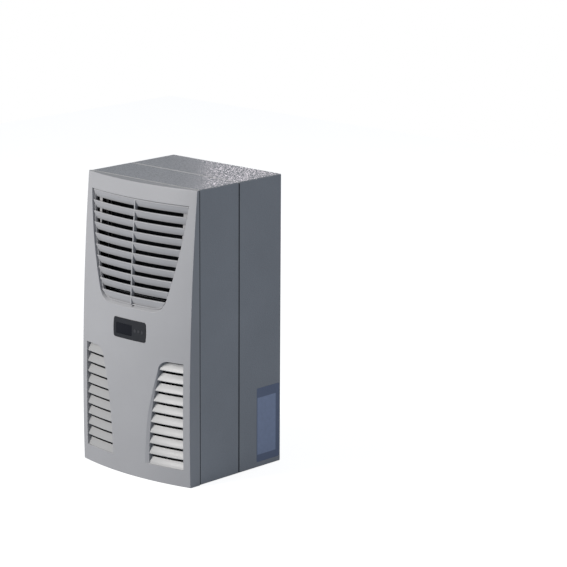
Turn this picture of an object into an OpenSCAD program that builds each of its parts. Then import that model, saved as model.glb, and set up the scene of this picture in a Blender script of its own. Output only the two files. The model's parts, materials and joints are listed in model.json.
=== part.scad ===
// Wall-mounted enclosure cooling unit.
// Front faces -Y, +X is to the right seen from the front, +Z is up.
// The origin lies on the floor plane, under the middle of the unit's bounding box.
// Depths named "..._d" are measured forward from the back of the sheet-steel tray.

/* [Casing] */
// Width across the front
body_w = 280; // [276:1:320]
// Height
body_h = 550; // [545:1:620]
// Depth of the rear tray, up to the middle of the seam
tray_d = 112; // [108:1:130]
// Depth of the hood, from the middle of the seam to its front panel
hood_d = 102; // [101:1:130]
// Thickness of the casing sheet
sheet_t = 1.5; // [1:0.1:2]
// Outer radius of the long bends
bend_r = 2.5; // [2:0.1:4]
// Width of the seam between tray and hood
seam_gap = 3; // [2:0.5:4]
// How far the tray's inner lip reaches past the seam
lip_reach = 9; // [5:1:12]
// Gap between that lip and the hood
lip_play = 0.4; // [0.2:0.1:0.8]
// Thickness of the sealing foam on the back
gasket_t = 3; // [2:0.5:6]
// Width of the sealing foam's frame
gasket_w = 14; // [8:1:16]
// Distance of the sealing foam from the edge of the casing
gasket_inset = 4; // [3:1:8]

/* [Front fascia] */
// Depth of the fascia's side face at the top
edge_top = 7; // [6:0.5:12]
// Depth of the fascia's side face where it is deepest
edge_max = 27.6; // [24:0.2:34]
// Height at which the side face is deepest
belly_z = 110; // [60:5:160]
// How far the middle of the front stands in front of its side edges
bow = 18; // [12:0.5:22]
// Wall thickness of the moulding
skin_t = 2.5; // [2:0.1:3.5]
// Width of the shadow line between hood and fascia
fascia_gap = 1.5; // [1:0.1:2.5]

/* [Upper grille] */
// Distance from the top of the unit to the top of the grille window
window_top_gap = 30.5; // [28:0.5:40]
// Height of the grille window, as a share of the unit's height
window_share = 0.3591; // [0.352:0.0005:0.366]
// Distance from the side of the unit to the grille window, at the window's top
window_side_gap = 16; // [15:0.5:20]
// Distance from the side of the unit to the grille window, at its foot before the corners are rounded
window_foot_gap = 62; // [50:1:70]
// Radius of the two lower corners
window_corner_r = 32; // [20:1:40]
// How far the grille lies behind the fascia's surface
grille_recess = 2; // [1.5:0.5:4]
// Number of slats
slat_count = 10; // [8:1:11]
// Height of the gap between two slats
slat_gap = 5.5; // [5:0.1:7]
// How far a slat's lower edge lies behind its upper edge
slat_lean = 7; // [5:0.5:7]
// Thickness of a slat
slat_t = 1.8; // [1.4:0.1:2.2]
// Width of the rib down the middle
rib_w = 2.8; // [2:0.2:5]

/* [Lower louvres] */
// Distance from the middle of the display down to the top of the louvre pockets
pocket_drop = 46; // [42:1:52]
// Height of the foot of the louvre pockets
pocket_foot_z = 31.8; // [28:0.1:40]
// Distance from the side of the unit to the outer side of a pocket
pocket_margin = 14.5; // [14:0.5:24]
// Distance from the side of the unit to a pocket's inner side, at its foot
pocket_inner_gap = 92; // [82:1:100]
// How far the inner side moves outward, from the foot to the top
pocket_spread = 29.7; // [10:0.1:34]
// Radius of the pocket's inner top corner
pocket_corner_r = 20; // [12:1:24]
// Number of louvres in a pocket
louvre_count = 10; // [7:1:11]
// Distance from the pocket's top to the first louvre's front edge
louvre_first_drop = 16.5; // [14:0.5:20]
// How far a louvre climbs from its front edge
louvre_rise = 12.8; // [10:0.1:15]
// How deep a louvre reaches behind the surface
louvre_depth = 9; // [8:0.5:12]
// How far the louvres lie behind the fascia's surface
louvre_recess = 2.5; // [0.5:0.5:3]
// Thickness of a louvre at its front edge
louvre_lip = 1.5; // [1:0.1:2.5]

/* [Display] */
// Distance from the foot of the grille window down to the middle of the display
display_drop = 45; // [38:1:52]
// Width of the display bezel
bezel_w = 84; // [76:1:90]
// Height of the display bezel
bezel_h = 37; // [32:1:42]
// How far the bezel's sides bulge
bezel_bulge = 1.5; // [0.5:0.5:3]
// Corner radius of the bezel
bezel_r = 4.5; // [3:0.5:6]
// Width of the screen
screen_w = 41; // [30:1:42]
// Height of the screen
screen_h = 20; // [16:1:24]
// Travel of a key
key_travel = 0.5; // [0.3:0.1:0.6]
// Radius of a key
key_r = 3.1; // [2.5:0.1:3.4]
// Distance from key to key
key_pitch = 8.6; // [8.4:0.1:9]

/* [Mounting] */
// Distance from the side of the unit to the mounting threads
mount_side_gap = 30; // [28:1:40]
// Distance from the foot and the head of the unit to the mounting threads
mount_end_gap = 30; // [25:1:40]
// Radius of the mounting threads
mount_r = 3; // [2.5:0.5:4]
// Outer radius of the drain spigot
drain_r = 6; // [5:0.5:7]

/* [Partition and chassis] */
// Depth of the back face of the partition between the two air circuits
part_d = 84; // [82:1:90]
// Thickness of the partition and of the chassis sheets
inner_t = 1.2; // [1:0.1:1.5]
// Width of the partition's flange
part_flange = 12; // [8:1:14]
// Height of the base plate above the floor
base_z = 4.2; // [4:0.1:6]
// Distance from the side of the unit to the base plate
base_side_gap = 12; // [10:1:16]
// Thickness of the foam liner
liner_t = 6; // [4:0.5:8]
// Thickness of the foam liner's floor
liner_floor_t = 14; // [12:0.5:16]

/* [Evaporator] */
// Distance from the side of the unit to the evaporator's fin pack
evap_side_gap = 48; // [46:1:60]
// Height of the fin pack's foot
evap_z = 46; // [44:1:60]
// Number of tube runs in a row
evap_runs = 8; // [4:2:8]
// Depth of the fin pack
evap_depth = 38; // [36:1:42]
// Gap between the fin pack and the partition
evap_gap = 12; // [11:0.5:12]

/* [Condenser] */
// Distance from the side of the unit to the condenser's fin pack
cond_side_gap = 35; // [34:1:48]
// Depth of the fin pack
cond_depth = 34; // [32:1:36]

/* [Coils] */
// Outer radius of the coil tubes
coil_r = 4; // [3:0.5:4]
// Upright distance from run to run
run_pitch = 19; // [18:0.5:20]
// Distance between the two rows of tubes
row_pitch = 18; // [16:0.5:20]
// Distance from fin to fin
fin_pitch = 7; // [5:0.5:12]
// Thickness of a fin
fin_t = 0.4; // [0.3:0.1:0.8]

/* [Fans] */
// Side of the enclosure fan's frame
evap_fan_size = 120; // [110:1:124]
// Side of the condenser fan's frame
cond_fan_size = 150; // [140:1:160]
// Depth of both fans
fan_depth = 38; // [36:1:40]
// Number of blades of a fan
blade_count = 7; // [5:1:9]
// Pitch angle of the blades
blade_angle = 50; // [40:1:60]

/* [Compressor] */
// Radius of the compressor's shell
comp_r = 46; // [40:1:47]
// Height of the compressor's shell
comp_h = 168; // [150:1:172]
// Distance of the compressor to the left of the middle, as a share of half the width
comp_share = 0.3571; // [0.343:0.001:0.385]

/* [Control box] */
// Left side of the control box, as a share of half the width
ctrl_share = 0.2; // [0.19:0.005:0.28]
// Width of the control box, as a share of half the width
ctrl_w_share = 0.7; // [0.62:0.005:0.71]
// Height of the control box
ctrl_h = 168; // [140:1:170]
// Depth of the control box
ctrl_depth = 64; // [56:1:68]

/* [Hidden] */

// Overrun of every cut past the face that it opens
over = 1;
// Gap round soft pieces
soft_gap = 0.3;
// Gap round hard pieces that slip into each other
slip = 0.2;
// Angle that the front surface's turned sector spans
sector_angle = 40;
// Straight steps that the front surface takes from foot to head
skin_steps = 16;
// Segments of a full turn, for the wide surfaces and for small round pieces
wide_fn = 360;
small_fn = 48;

// Places that follow from the casing
total_d = gasket_t + tray_d + hood_d + edge_max + bow;
rear_y = total_d / 2 - gasket_t;
half_w = body_w / 2;
tray_end_d = tray_d - seam_gap / 2;
hood_start_d = tray_d + seam_gap / 2;
panel_front_d = tray_d + hood_d;
panel_back_d = panel_front_d - sheet_t;
part_front_d = part_d + inner_t;
lip_out = sheet_t + lip_play;
lip_in = lip_out + inner_t;
joggle_w = 2.5;

// The fascia's front surface is turned about an upright axis behind it
plan_r = (half_w * half_w + bow * bow) / (2 * bow);
axis_y = -total_d / 2 + plan_r;
lean_k = (edge_max - edge_top) / ((body_h - belly_z) * (body_h - belly_z));

// Grille window
window_h = window_share * body_h;
window_top_z = body_h - window_top_gap;
window_foot_z = window_top_z - window_h;
window_top_w = body_w - 2 * window_side_gap;
window_foot_w = body_w - 2 * window_foot_gap;
window_slope_share = 0.1;
window_steps = 8;
corner_steps = 5;
window_k = (window_top_w / 2 - window_foot_w / 2 - window_slope_share * window_h) / (window_h * window_h);
grille_play = 0.6;
band_t = 2;
band_set = 1.2;
band_depth = 9;
collar_t = 2;
ledge_w = 3;
ledge_t = 1.5;
rim_depth = grille_recess + band_depth + soft_gap + ledge_t;
lip_bead = 2;
slat_foot_gap = 3;
slat_pitch = (window_h - grille_play - slat_foot_gap + slat_gap) / slat_count;
slat_h = slat_pitch - slat_gap;
rib_set = 0.5;
rib_depth = 8.5;
notch_w = 5;
notch_h = 2;
hook_set = 19.5;
hook_x = window_top_w / 2 - hook_set;
hook_top_w = 11.5;
hook_foot_w = 4;
hook_h = 64;
hook_depth = 6;
hook_back = grille_recess + slat_lean + hook_depth;
hook_top_z = window_top_z - ledge_w - grille_play;
hook_t = 2;
hook_root_h = 11.4;

// Louvre pockets, below the display
display_z = window_foot_z - display_drop;
pocket_top_z = display_z - pocket_drop;
pocket_h = pocket_top_z - pocket_foot_z;
pocket_outer_x = half_w - pocket_margin;
pocket_foot_x = half_w - pocket_inner_gap;
louvre_pitch = (pocket_h - louvre_first_drop) / (louvre_count - 1);
pocket_steps = 8;
pocket_rim_t = 2;
pocket_rim_over = 2;
louvre_top_gap = 3.5;
pocket_rim_depth = louvre_recess + louvre_depth + pocket_rim_over;

// Display
bezel_proud = 0.8;
bezel_face_t = 3;
bezel_wall = 1.6;
bezel_depth = 12;
screen_x = -33.5;
screen_drop = 1;
window_proud = 0.4;
window_t = 2;
key_x = 15.5;
key_proud = 1;
key_play = 0.25;
key_flange_r = 4;
key_flange_t = 1.2;
board_t = 1.6;
board_play = 0.3;
switch_t = 3;
module_t = 4;
display_front_d = panel_front_d + edge_max + bow - lean_k * (display_z - belly_z) * (display_z - belly_z);
board_back_d = display_front_d - bezel_depth - 0.5 * board_t;
board_front_d = board_back_d + board_t;
switch_front_d = board_front_d + switch_t;
post_w = 5;

// Hood panel windows, its two guide pins and its screws
bracket_gap = 2;
cond_half_w = half_w - cond_side_gap;
cond_bracket_x = cond_half_w + bracket_gap;
hood_screw_set = 5;
hood_screw_x = cond_bracket_x - hood_screw_set;
hood_side_margin = 11.5;
hood_window_half_w = hood_screw_x - hood_screw_set;
hood_window_rise = 10;
hood_wing_h = 48;
hood_window_over = 6.5;
vent_margin = 2;
cable_w = 56;
cable_h = 22;
guide_side_gap = 30;
guide_x = half_w - guide_side_gap;
guide_z = 12;
guide_r = 3;
guide_len = 17;
hood_screw_drop = 55;
hood_screw_z = window_top_z - hood_screw_drop;
m5_r = 2.5;
m5_head_r = 4.4;
m5_head_t = 3.2;
seal_t = 4.2;
seal_w = 10;
boss_r = 5;
m3_r = 1.5;
m3_head_r = 2.9;
m3_head_t = 2;
m3_len = 9;
bore_play = 0.05;
hole_play = 0.5;
boss_edge = 12;
boss_mid_z = display_z;
boss_foot_x = 26;
boss_foot_z = 16;

// Condenser, measured back from the hood's panel
flange_front_d = panel_back_d - seal_t - 2 * soft_gap;
flange_w = 14;
cond_flange_back_d = flange_front_d - sheet_t;
cond_front_gap = 2.2;
cond_front_d = cond_flange_back_d - cond_front_gap;
cond_back_d = cond_front_d - cond_depth;
cond_short = 7.5;
cond_margin = 9.5;
cond_run_rise = 8.5;
cond_frame_over = 3;
// An even number of tube runs, as many as the grille window's height takes
cond_runs = 2 * floor(((window_h - cond_short - 2 * cond_margin) / run_pitch + 1) / 2);
cond_run_z = window_foot_z + cond_run_rise;
cond_fin_z = cond_run_z - cond_margin;
cond_fin_h = (cond_runs - 1) * run_pitch + 2 * cond_margin;
cond_frame_z = cond_fin_z - cond_frame_over;
cond_frame_h = cond_fin_h + 2 * cond_frame_over;
cond_mid_z = cond_fin_z + cond_fin_h / 2;
cond_row_front_d = cond_front_d - (cond_depth - row_pitch) / 2;
cond_row_back_d = cond_row_front_d - row_pitch;
shroud_depth = 14;
shroud_back_d = cond_back_d - shroud_depth;
cond_fan_d = shroud_back_d - fan_depth;
cond_fan_foot_z = cond_mid_z - cond_fan_size / 2;
stub_len = 6;

// Evaporator, measured back from the partition
evap_front_d = part_d - evap_gap;
evap_back_d = evap_front_d - evap_depth;
evap_row_front_d = evap_front_d - (evap_depth - row_pitch) / 2;
evap_row_back_d = evap_row_front_d - row_pitch;
evap_margin = 10;
evap_run_z = evap_z + evap_margin;
evap_h = (evap_runs - 1) * run_pitch + 2 * evap_margin;
evap_half_w = half_w - evap_side_gap;
evap_bracket_x = evap_half_w + bracket_gap;
evap_top_z = evap_run_z + (evap_runs - 1) * run_pitch;
evap_fan_drop = 98;
evap_fan_z = body_h - evap_fan_drop;
evap_fan_d = sheet_t;

// Fans
fan_wall = 3.5;
fan_tip_gap = 1.5;
fan_strut_t = 4;
fan_strut_w = 6;
fan_strut_count = 3;
fan_corner_r = 6;
fan_hub_share = 0.36;
fan_hub_wall = 2;
fan_cap_t = 2.5;
fan_end_gap = 1;
stator_gap = 2.5;
stator_share = 0.5;
shaft_r = 3;
blade_t = 1.6;
blade_root = 0.6;
fan_screw_r = 2;
fan_screw_edge = 8;
fan_screw_head_r = 3.8;
fan_screw_head_t = 2.5;

// Drip tray and drain
drip_side_gap = 28;
drip_half_w = half_w - drip_side_gap;
drip_back_d = 28;
drip_front_d = 80;
drip_wall = 1.5;
drip_h = 16;
drip_z = sheet_t + 2 * soft_gap + liner_floor_t;
drain_wall = 1.5;
drain_clear_r = 12;
drain_foot_z = 1;

// Back panel: air inlet slots before the fan, outlet slots behind the evaporator, terminals
slot_h = 6;
slot_pitch = 10.5;
inlet_rows = 10;
outlet_rows = 13;
outlet_cols = 3;
outlet_slot_w = 56;
outlet_col_pitch = 63;
outlet_mid_z = evap_z + evap_h / 2;
socket_side_gap = 68;
socket_drop = 122;
socket_x = half_w - socket_side_gap;
socket_z = evap_fan_z - socket_drop;
socket_w = 38;
socket_h = 20;
socket_back = 2;
socket_depth = 14;
socket_poles = 3;
pole_r = 2.4;
pole_pitch = 11;
nut_flange_r = 7;
nut_flange_t = 1;
nut_wall = 1.6;
nut_len = 14;

// Label plate in its shallow seat on the right side
plate_seat_t = 0.3;
plate_t = 0.25;
plate_d = 2;
plate_w = 62;
plate_z = 10;
plate_h = 143;

// Mounting threads
mount_w = body_w - 2 * mount_side_gap;
mount_h = body_h - 2 * mount_end_gap;

// Base plate and compressor mounting
base_half_w = half_w - base_side_gap;
base_flange_h = 16;
base_front_gap = 8;
base_front_d = panel_back_d - base_front_gap;
comp_d = (part_front_d + panel_back_d) / 2;
comp_x = comp_share * half_w;
comp_corner_r = 20;
grommet_h = 12;
foot_z = base_z + inner_t + grommet_h;
foot_t = 3;
foot_half_w = 60;
foot_half_d = 38;
foot_hole_r = 6;
foot_ear = 9;
stud_r = 3;
grommet_r = 9;
grommet_lip = 4;
washer_r = 7;
washer_t = 1.6;
nut_r = 5.5;
nut_t = 5;
stud_spare = 4;
comp_z = foot_z + foot_t;
stub_r = 4.75;
stub_h = 10;
stub_x = 18;
stub_top_z = comp_z + comp_h + stub_h;
cover_w = 40;
cover_h = 44;
cover_z = 92;
cover_reach = 14;

// Pipes: outer radii, bends and rings
suction_r = 4.75;
discharge_r = 4;
liquid_r = 3;
capillary_r = 1.2;
pipe_bend_r = 9;
bend_steps = 4;
pipe_sides = 10;
liquid_low_z = cond_run_z - 2 * pipe_bend_r;
drier_side_gap = 24;
drier_drop = 17.5;
drier_x = drier_side_gap - half_w;
drier_r = 9.5;
drier_h = 90;
drier_z = liquid_low_z - drier_drop - drier_h;
drier_cone = 12;
drier_d = part_front_d + soft_gap + drier_r;
cap_coil_side_gap = 62;
cap_coil_rise = 15.6;
cap_coil_x = cap_coil_side_gap - half_w;
cap_coil_d = 112;
cap_coil_r = 17;
cap_coil_z = stub_top_z + cap_coil_rise;
cap_coil_turns = 5;
cap_coil_pitch = 4.2;
cap_coil_sides = 20;
suction_x = -comp_x + stub_x;
discharge_x = -comp_x - stub_x;
// The pipes turn aside between the compressor's stubs and the condenser fan's foot
cross_share = 0.327;
pipe_high_share = 0.537;
cross_z = stub_top_z + cross_share * (cond_fan_foot_z - stub_top_z);
pipe_high_z = stub_top_z + pipe_high_share * (cond_fan_foot_z - stub_top_z);
cap_cross_side_gap = 36;
cap_cross_rise = 26;
cap_cross_x = cap_cross_side_gap - half_w;
cap_cross_z = cap_coil_z + cap_cross_rise;
pipe_side_gap = 10.5;
pipe_wall_x = half_w - pipe_side_gap;
grommet_hole_r = 9;
cap_hole_r = 4;
grommet_edge = 2.5;
grommet_t = 5;

// Control box and what it holds
ctrl_x = ctrl_share * half_w;
ctrl_w = ctrl_w_share * half_w;
ctrl_z = base_z + base_flange_h;
ctrl_wall = 1.5;
ctrl_cover_t = 1.5;
ctrl_board_gap = 6;
ctrl_board_margin = 6;
standoff_r = 3;
relay_w = 20;
relay_depth = 17;
relay_h = 28;
relay_count = 3;
transformer_w = 36;
transformer_h = 32;
transformer_depth = 24;
capacitor_r = 17;
capacitor_h = 62;
capacitor_gap = 24;
capacitor_x = ctrl_x + ctrl_w - capacitor_gap;
capacitor_d = 120;
lead_r = 3;
fan_lead_gap = 22;
fan_lead_x = ctrl_x + fan_lead_gap;
fan_lead_d = 118;
compressor_lead_r = 4;
compressor_lead_z = 110;
sensor_drop = 132;
sensor_x = -socket_x;
sensor_z = evap_fan_z - sensor_drop;
sensor_r = 3;
sensor_len = 26;

fascia_grey = [0.72, 0.72, 0.73];
casing_grey = [0.60, 0.60, 0.62];

// Distance of the front surface from its axis, at height z
function skin_r(z) = plan_r - lean_k * (z - belly_z) * (z - belly_z);

// Half width and side slope of the grille window at height z
function window_half(z) =
  window_top_w / 2 - window_slope_share * (window_top_z - z) - window_k * pow(window_top_z - z, 2);
function window_tilt(z) = atan(window_slope_share + 2 * window_k * (window_top_z - z));

window_corner_tilt = window_tilt(window_foot_z + 0.65 * window_corner_r);
window_corner_z = window_foot_z + window_corner_r;
window_side_z = window_corner_z - window_corner_r * sin(window_corner_tilt);
window_corner_x = window_half(window_side_z) - window_corner_r * cos(window_corner_tilt);

// Right half of the window's outline, from the top down, moved inward by inset
function window_side(inset) = concat(
  [[window_half(window_top_z) - inset, window_top_z - inset]],
  [for (i = [1:window_steps])
    let (z = window_top_z + (window_side_z - window_top_z) * i / window_steps, tilt = window_tilt(z))
    [window_half(z) - inset * cos(tilt), z + inset * sin(tilt)]],
  [for (i = [1:corner_steps])
    let (a = window_corner_tilt + (90 - window_corner_tilt) * i / corner_steps)
    let (r = window_corner_r - inset)
    [window_corner_x + r * cos(a), window_corner_z - r * sin(a)]]
);
function mirrored(points) = [for (i = [len(points) - 1:-1:0]) [-points[i][0], points[i][1]]];
function window_outline(inset) = concat(window_side(inset), mirrored(window_side(inset)));

// Outline of the right louvre pocket, moved inward by inset
function pocket_inner_x(z) = pocket_foot_x + pocket_spread * pow((z - pocket_foot_z) / pocket_h, 2);
function pocket_outline(inset) =
  let (bend_z = pocket_top_z - pocket_corner_r, bend_x = pocket_inner_x(bend_z) + pocket_corner_r)
  concat(
    [[pocket_outer_x - inset, pocket_foot_z + inset], [pocket_outer_x - inset, pocket_top_z - inset]],
    [for (i = [0:corner_steps])
      let (a = 90 + 90 * i / corner_steps)
      [bend_x + (pocket_corner_r - inset) * cos(a), bend_z + (pocket_corner_r - inset) * sin(a)]],
    [for (i = [1:pocket_steps])
      let (z = bend_z + (pocket_foot_z + inset - bend_z) * i / pocket_steps)
      [pocket_inner_x(z) + inset, z]]
  );

// Outline of the display bezel, moved inward by inset
function bezel_half(z) = bezel_w / 2 - bezel_bulge * pow(2 * z / bezel_h, 2);
function bezel_side(inset) =
  let (r = bezel_r, z = bezel_h / 2 - r, x = bezel_half(z) - r)
  concat(
    [for (i = [0:corner_steps])
      let (a = 90 - 90 * i / corner_steps)
      [x + (r - inset) * cos(a), z + (r - inset) * sin(a)]],
    [[bezel_half(0) - inset, 0]],
    [for (i = [0:corner_steps])
      let (a = -90 * i / corner_steps)
      [x + (r - inset) * cos(a), -z + (r - inset) * sin(a)]]
  );
function bezel_outline(inset) =
  [for (p = concat(bezel_side(inset), mirrored(bezel_side(inset)))) [p[0], p[1] + display_z]];

// Route of a pipe: straight runs joined by bends of one radius
function along(v) = v / norm(v);
function bend_points(a, b, c, r) =
  let (u = along(a - b), v = along(c - b), half = acos(u * v) / 2)
  let (centre = b + along(u + v) * r / sin(half))
  let (p = b + u * r / tan(half) - centre, q = b + v * r / tan(half) - centre, sweep = 180 - 2 * half)
  [for (i = [0:bend_steps])
    let (t = sweep * i / bend_steps)
    centre + (p * sin(sweep - t) + q * sin(t)) / sin(sweep)];
function pipe_route(stops, r) = concat(
  [stops[0]],
  [for (i = [1:len(stops) - 2]) each bend_points(stops[i - 1], stops[i], stops[i + 1], r)],
  [stops[len(stops) - 1]]
);
// A place given by x, depth and height, in the frame's own axes
function place(x, d, z) = [x, rear_y - d, z];

// Draws a tube of round section along a route
module tube_along(route, r, sides = pipe_sides) {
  last = len(route) - 1;
  ways = [for (i = [0:last]) along(route[min(i + 1, last)] - route[max(i - 1, 0)])];
  first_side = abs(ways[0][2]) > 0.9 ? [1, 0, 0] : [0, 0, 1];
  start = along(first_side - ways[0] * (first_side * ways[0]));
  sidesteps = [for (i = 0, n = start; i <= last;
    i = i + 1, n = i <= last ? along(n - ways[i] * (n * ways[i])) : n) n];
  points = [for (i = [0:last], k = [0:sides - 1])
    let (a = 360 * k / sides)
    route[i] + r * (cos(a) * sidesteps[i] + sin(a) * cross(ways[i], sidesteps[i]))];
  walls = [for (i = [0:last - 1], k = [0:sides - 1])
    let (a = i * sides + k, b = i * sides + (k + 1) % sides)
    each [[a, b + sides, b], [a, a + sides, b + sides]]];
  caps = [[for (k = [0:sides - 1]) k], [for (k = [sides - 1:-1:0]) last * sides + k]];
  polyhedron(points = points, faces = concat(walls, caps), convexity = 6);
}

// Extrudes an outline in x and z from one depth to another
module span(from_d, to_d) {
  translate([0, rear_y - from_d, 0]) rotate([90, 0, 0]) linear_extrude(height = to_d - from_d) children();
}
module block(x0, x1, d0, d1, z0, z1) {
  translate([x0, rear_y - d1, z0]) cube([x1 - x0, d1 - d0, z1 - z0]);
}
module rod(x, z, from_d, to_d, r) {
  translate([x, rear_y - from_d, z]) rotate([90, 0, 0]) cylinder(h = to_d - from_d, r = r, $fn = small_fn);
}
module both_sides() {
  children();
  mirror([1, 0, 0]) children();
}

// Face of the casing with rounded corners, smaller all round by inset
module casing_face(inset) {
  w = body_w - 2 * inset;
  h = body_h - 2 * inset;
  r = max(bend_r - inset, 0.2 * bend_r);
  translate([-w / 2, inset]) {
    translate([r, 0]) square([w - 2 * r, h]);
    translate([0, r]) square([w, h - 2 * r]);
    for (x = [r, w - r], z = [r, h - r]) translate([x, z]) circle(r = r, $fn = small_fn);
  }
}
module casing_ring(outer, inner) {
  difference() {
    casing_face(outer);
    casing_face(inner);
  }
}
module frame_2d(half_x, z, h, t) {
  difference() {
    translate([-half_x, z]) square([2 * half_x, h]);
    translate([-half_x + t, z + t]) square([2 * (half_x - t), h - 2 * t]);
  }
}
module slot_2d(w, h) {
  square([w - h, h], center = true);
  for (x = [-(w - h) / 2, (w - h) / 2]) translate([x, 0]) circle(d = h, $fn = small_fn);
}

// Solid behind the fascia's front surface, from floor to head, set back by depth
module behind_skin(depth) {
  points = concat(
    [[plan_r / 2, 0]],
    [for (i = [0:skin_steps]) let (z = body_h * i / skin_steps) [skin_r(z) - depth, z]],
    [[plan_r / 2, body_h]]
  );
  translate([0, axis_y, 0]) rotate([0, 0, -90 - sector_angle / 2])
    rotate_extrude(angle = sector_angle, $fn = wide_fn) polygon(points);
}
// Shell that follows the front surface, between two depths behind it
module skin_shell(from_depth, to_depth) {
  points = concat(
    [for (i = [0:skin_steps]) let (z = body_h * i / skin_steps) [skin_r(z) - from_depth, z]],
    [for (i = [skin_steps:-1:0]) let (z = body_h * i / skin_steps) [skin_r(z) - to_depth, z]]
  );
  translate([0, axis_y, 0]) rotate([0, 0, -90 - sector_angle / 2])
    rotate_extrude(angle = sector_angle, $fn = wide_fn) polygon(points);
}
// Strip that bends with the front surface; its profile is in depth and height
module bowed_strip(profile) {
  points = [for (p = profile) [skin_r(p[1]) - p[0], p[1]]];
  translate([0, axis_y, 0]) rotate([0, 0, -90 - sector_angle / 2])
    rotate_extrude(angle = sector_angle, $fn = wide_fn) polygon(points);
}
module through_front() {
  span(panel_front_d - over, panel_front_d + edge_max + bow + over) children();
}

// Rear tray: folded sheet with the back panel, four walls and a lip that enters the hood
module rear_tray() {
  color(casing_grey)
  difference() {
    union() {
      span(0, sheet_t) casing_face(0);
      span(0, tray_end_d) casing_ring(0, sheet_t);
      span(tray_end_d - joggle_w, tray_end_d) casing_ring(0, lip_in);
      span(tray_end_d - joggle_w, tray_end_d + seam_gap + lip_reach) casing_ring(lip_out, lip_in);
    }
    span(-over, sheet_t + over) inlet_slots();
    span(-over, sheet_t + over) outlet_slots();
    span(-over, sheet_t + over) mount_places() circle(r = mount_r + nut_wall + bore_play, $fn = small_fn);
    span(-over, sheet_t + over)
      translate([socket_x, socket_z]) square([socket_w + slip, socket_h + slip], center = true);
    translate(place(0, (drip_back_d + drip_front_d) / 2, -over))
      cylinder(h = sheet_t + 2 * over, r = drain_clear_r, $fn = small_fn);
    block(half_w - plate_seat_t, half_w + over, plate_d, plate_d + plate_w, plate_z, plate_z + plate_h);
    fan_screw_places(evap_fan_size, 0, evap_fan_z)
      rod(0, 0, -over, sheet_t + over, fan_screw_r + slip);
  }
}
module inlet_slots() {
  reach = fan_bore(evap_fan_size);
  for (i = [0:inlet_rows - 1]) {
    z = (i - (inlet_rows - 1) / 2) * slot_pitch;
    translate([0, evap_fan_z + z]) slot_2d(2 * sqrt(reach * reach - z * z), slot_h);
  }
}
module outlet_slots() {
  for (i = [0:outlet_rows - 1], j = [0:outlet_cols - 1])
    translate([(j - (outlet_cols - 1) / 2) * outlet_col_pitch,
      outlet_mid_z + (i - (outlet_rows - 1) / 2) * slot_pitch]) slot_2d(outlet_slot_w, slot_h);
}
module mount_places() {
  for (x = [-mount_w / 2, mount_w / 2], z = [(body_h - mount_h) / 2, (body_h + mount_h) / 2])
    translate([x, z]) children();
}
module rear_gasket() {
  color([0.12, 0.12, 0.13])
  span(-gasket_t, 0) frame_2d(half_w - gasket_inset, gasket_inset, body_h - 2 * gasket_inset, gasket_w);
}
// Threaded inserts in the back panel
module rivet_nuts() {
  color([0.75, 0.73, 0.62]) {
    span(-nut_flange_t, 0) mount_places() ring_2d(nut_flange_r, mount_r);
    span(0, nut_len) mount_places() ring_2d(mount_r + nut_wall, mount_r);
  }
}
module ring_2d(outer, inner) {
  difference() {
    circle(r = outer, $fn = small_fn);
    circle(r = inner, $fn = small_fn);
  }
}
// Foam liner of the chamber behind the partition
module foam_liner() {
  edge = sheet_t + soft_gap;
  color([0.86, 0.87, 0.88])
  difference() {
    span(sheet_t + soft_gap, part_d - part_flange - soft_gap) difference() {
      translate([-half_w + edge, edge]) square([body_w - 2 * edge, body_h - 2 * edge]);
      translate([-half_w + edge + liner_t, edge + liner_floor_t])
        square([body_w - 2 * (edge + liner_t), body_h - 2 * edge - liner_t - liner_floor_t]);
    }
    translate(place(0, (drip_back_d + drip_front_d) / 2, 0))
      cylinder(h = drip_z + over, r = drain_clear_r, $fn = small_fn);
  }
}
// Partition between the enclosure's air and the room's air
module partition_plate() {
  color([0.70, 0.71, 0.73])
  difference() {
    union() {
      span(part_d, part_front_d) casing_face(sheet_t);
      span(part_d - part_flange, part_d) casing_ring(sheet_t, sheet_t + inner_t);
    }
    rod(suction_x, cross_z, part_d - over, part_front_d + over, grommet_hole_r);
    rod(cap_cross_x, cap_cross_z, part_d - over, part_front_d + over, cap_hole_r);
  }
}
// Base plate in front of the partition; it carries the compressor
module base_plate() {
  color([0.70, 0.71, 0.73])
  difference() {
    union() {
      block(-base_half_w, base_half_w, part_front_d, base_front_d, base_z, base_z + inner_t);
      block(-base_half_w, base_half_w, part_front_d, part_front_d + inner_t, base_z, base_z + base_flange_h);
      block(-base_half_w, base_half_w, base_front_d - inner_t, base_front_d, base_z, base_z + base_flange_h);
      both_sides()
        block(base_half_w - inner_t, base_half_w, part_front_d, base_front_d, base_z, base_z + base_flange_h);
    }
    both_sides() rod(guide_x, guide_z, base_front_d - inner_t - over, base_front_d + over, guide_r + slip);
  }
}
// Rubber rings where the pipes pass the partition
module pipe_grommets() {
  color([0.10, 0.10, 0.11]) {
    grommet_ring(suction_x, cross_z, grommet_hole_r, suction_r);
    grommet_ring(cap_cross_x, cap_cross_z, cap_hole_r, capillary_r);
  }
}
module grommet_ring(x, z, hole_r, pipe_r) {
  mid_d = (part_d + part_front_d) / 2;
  difference() {
    union() {
      rod(x, z, mid_d - grommet_t / 2, part_d, hole_r + grommet_edge);
      rod(x, z, part_d, part_front_d, hole_r - bore_play);
      rod(x, z, part_front_d, mid_d + grommet_t / 2, hole_r + grommet_edge);
    }
    rod(x, z, mid_d - grommet_t, mid_d + grommet_t, pipe_r + soft_gap);
  }
}
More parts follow.
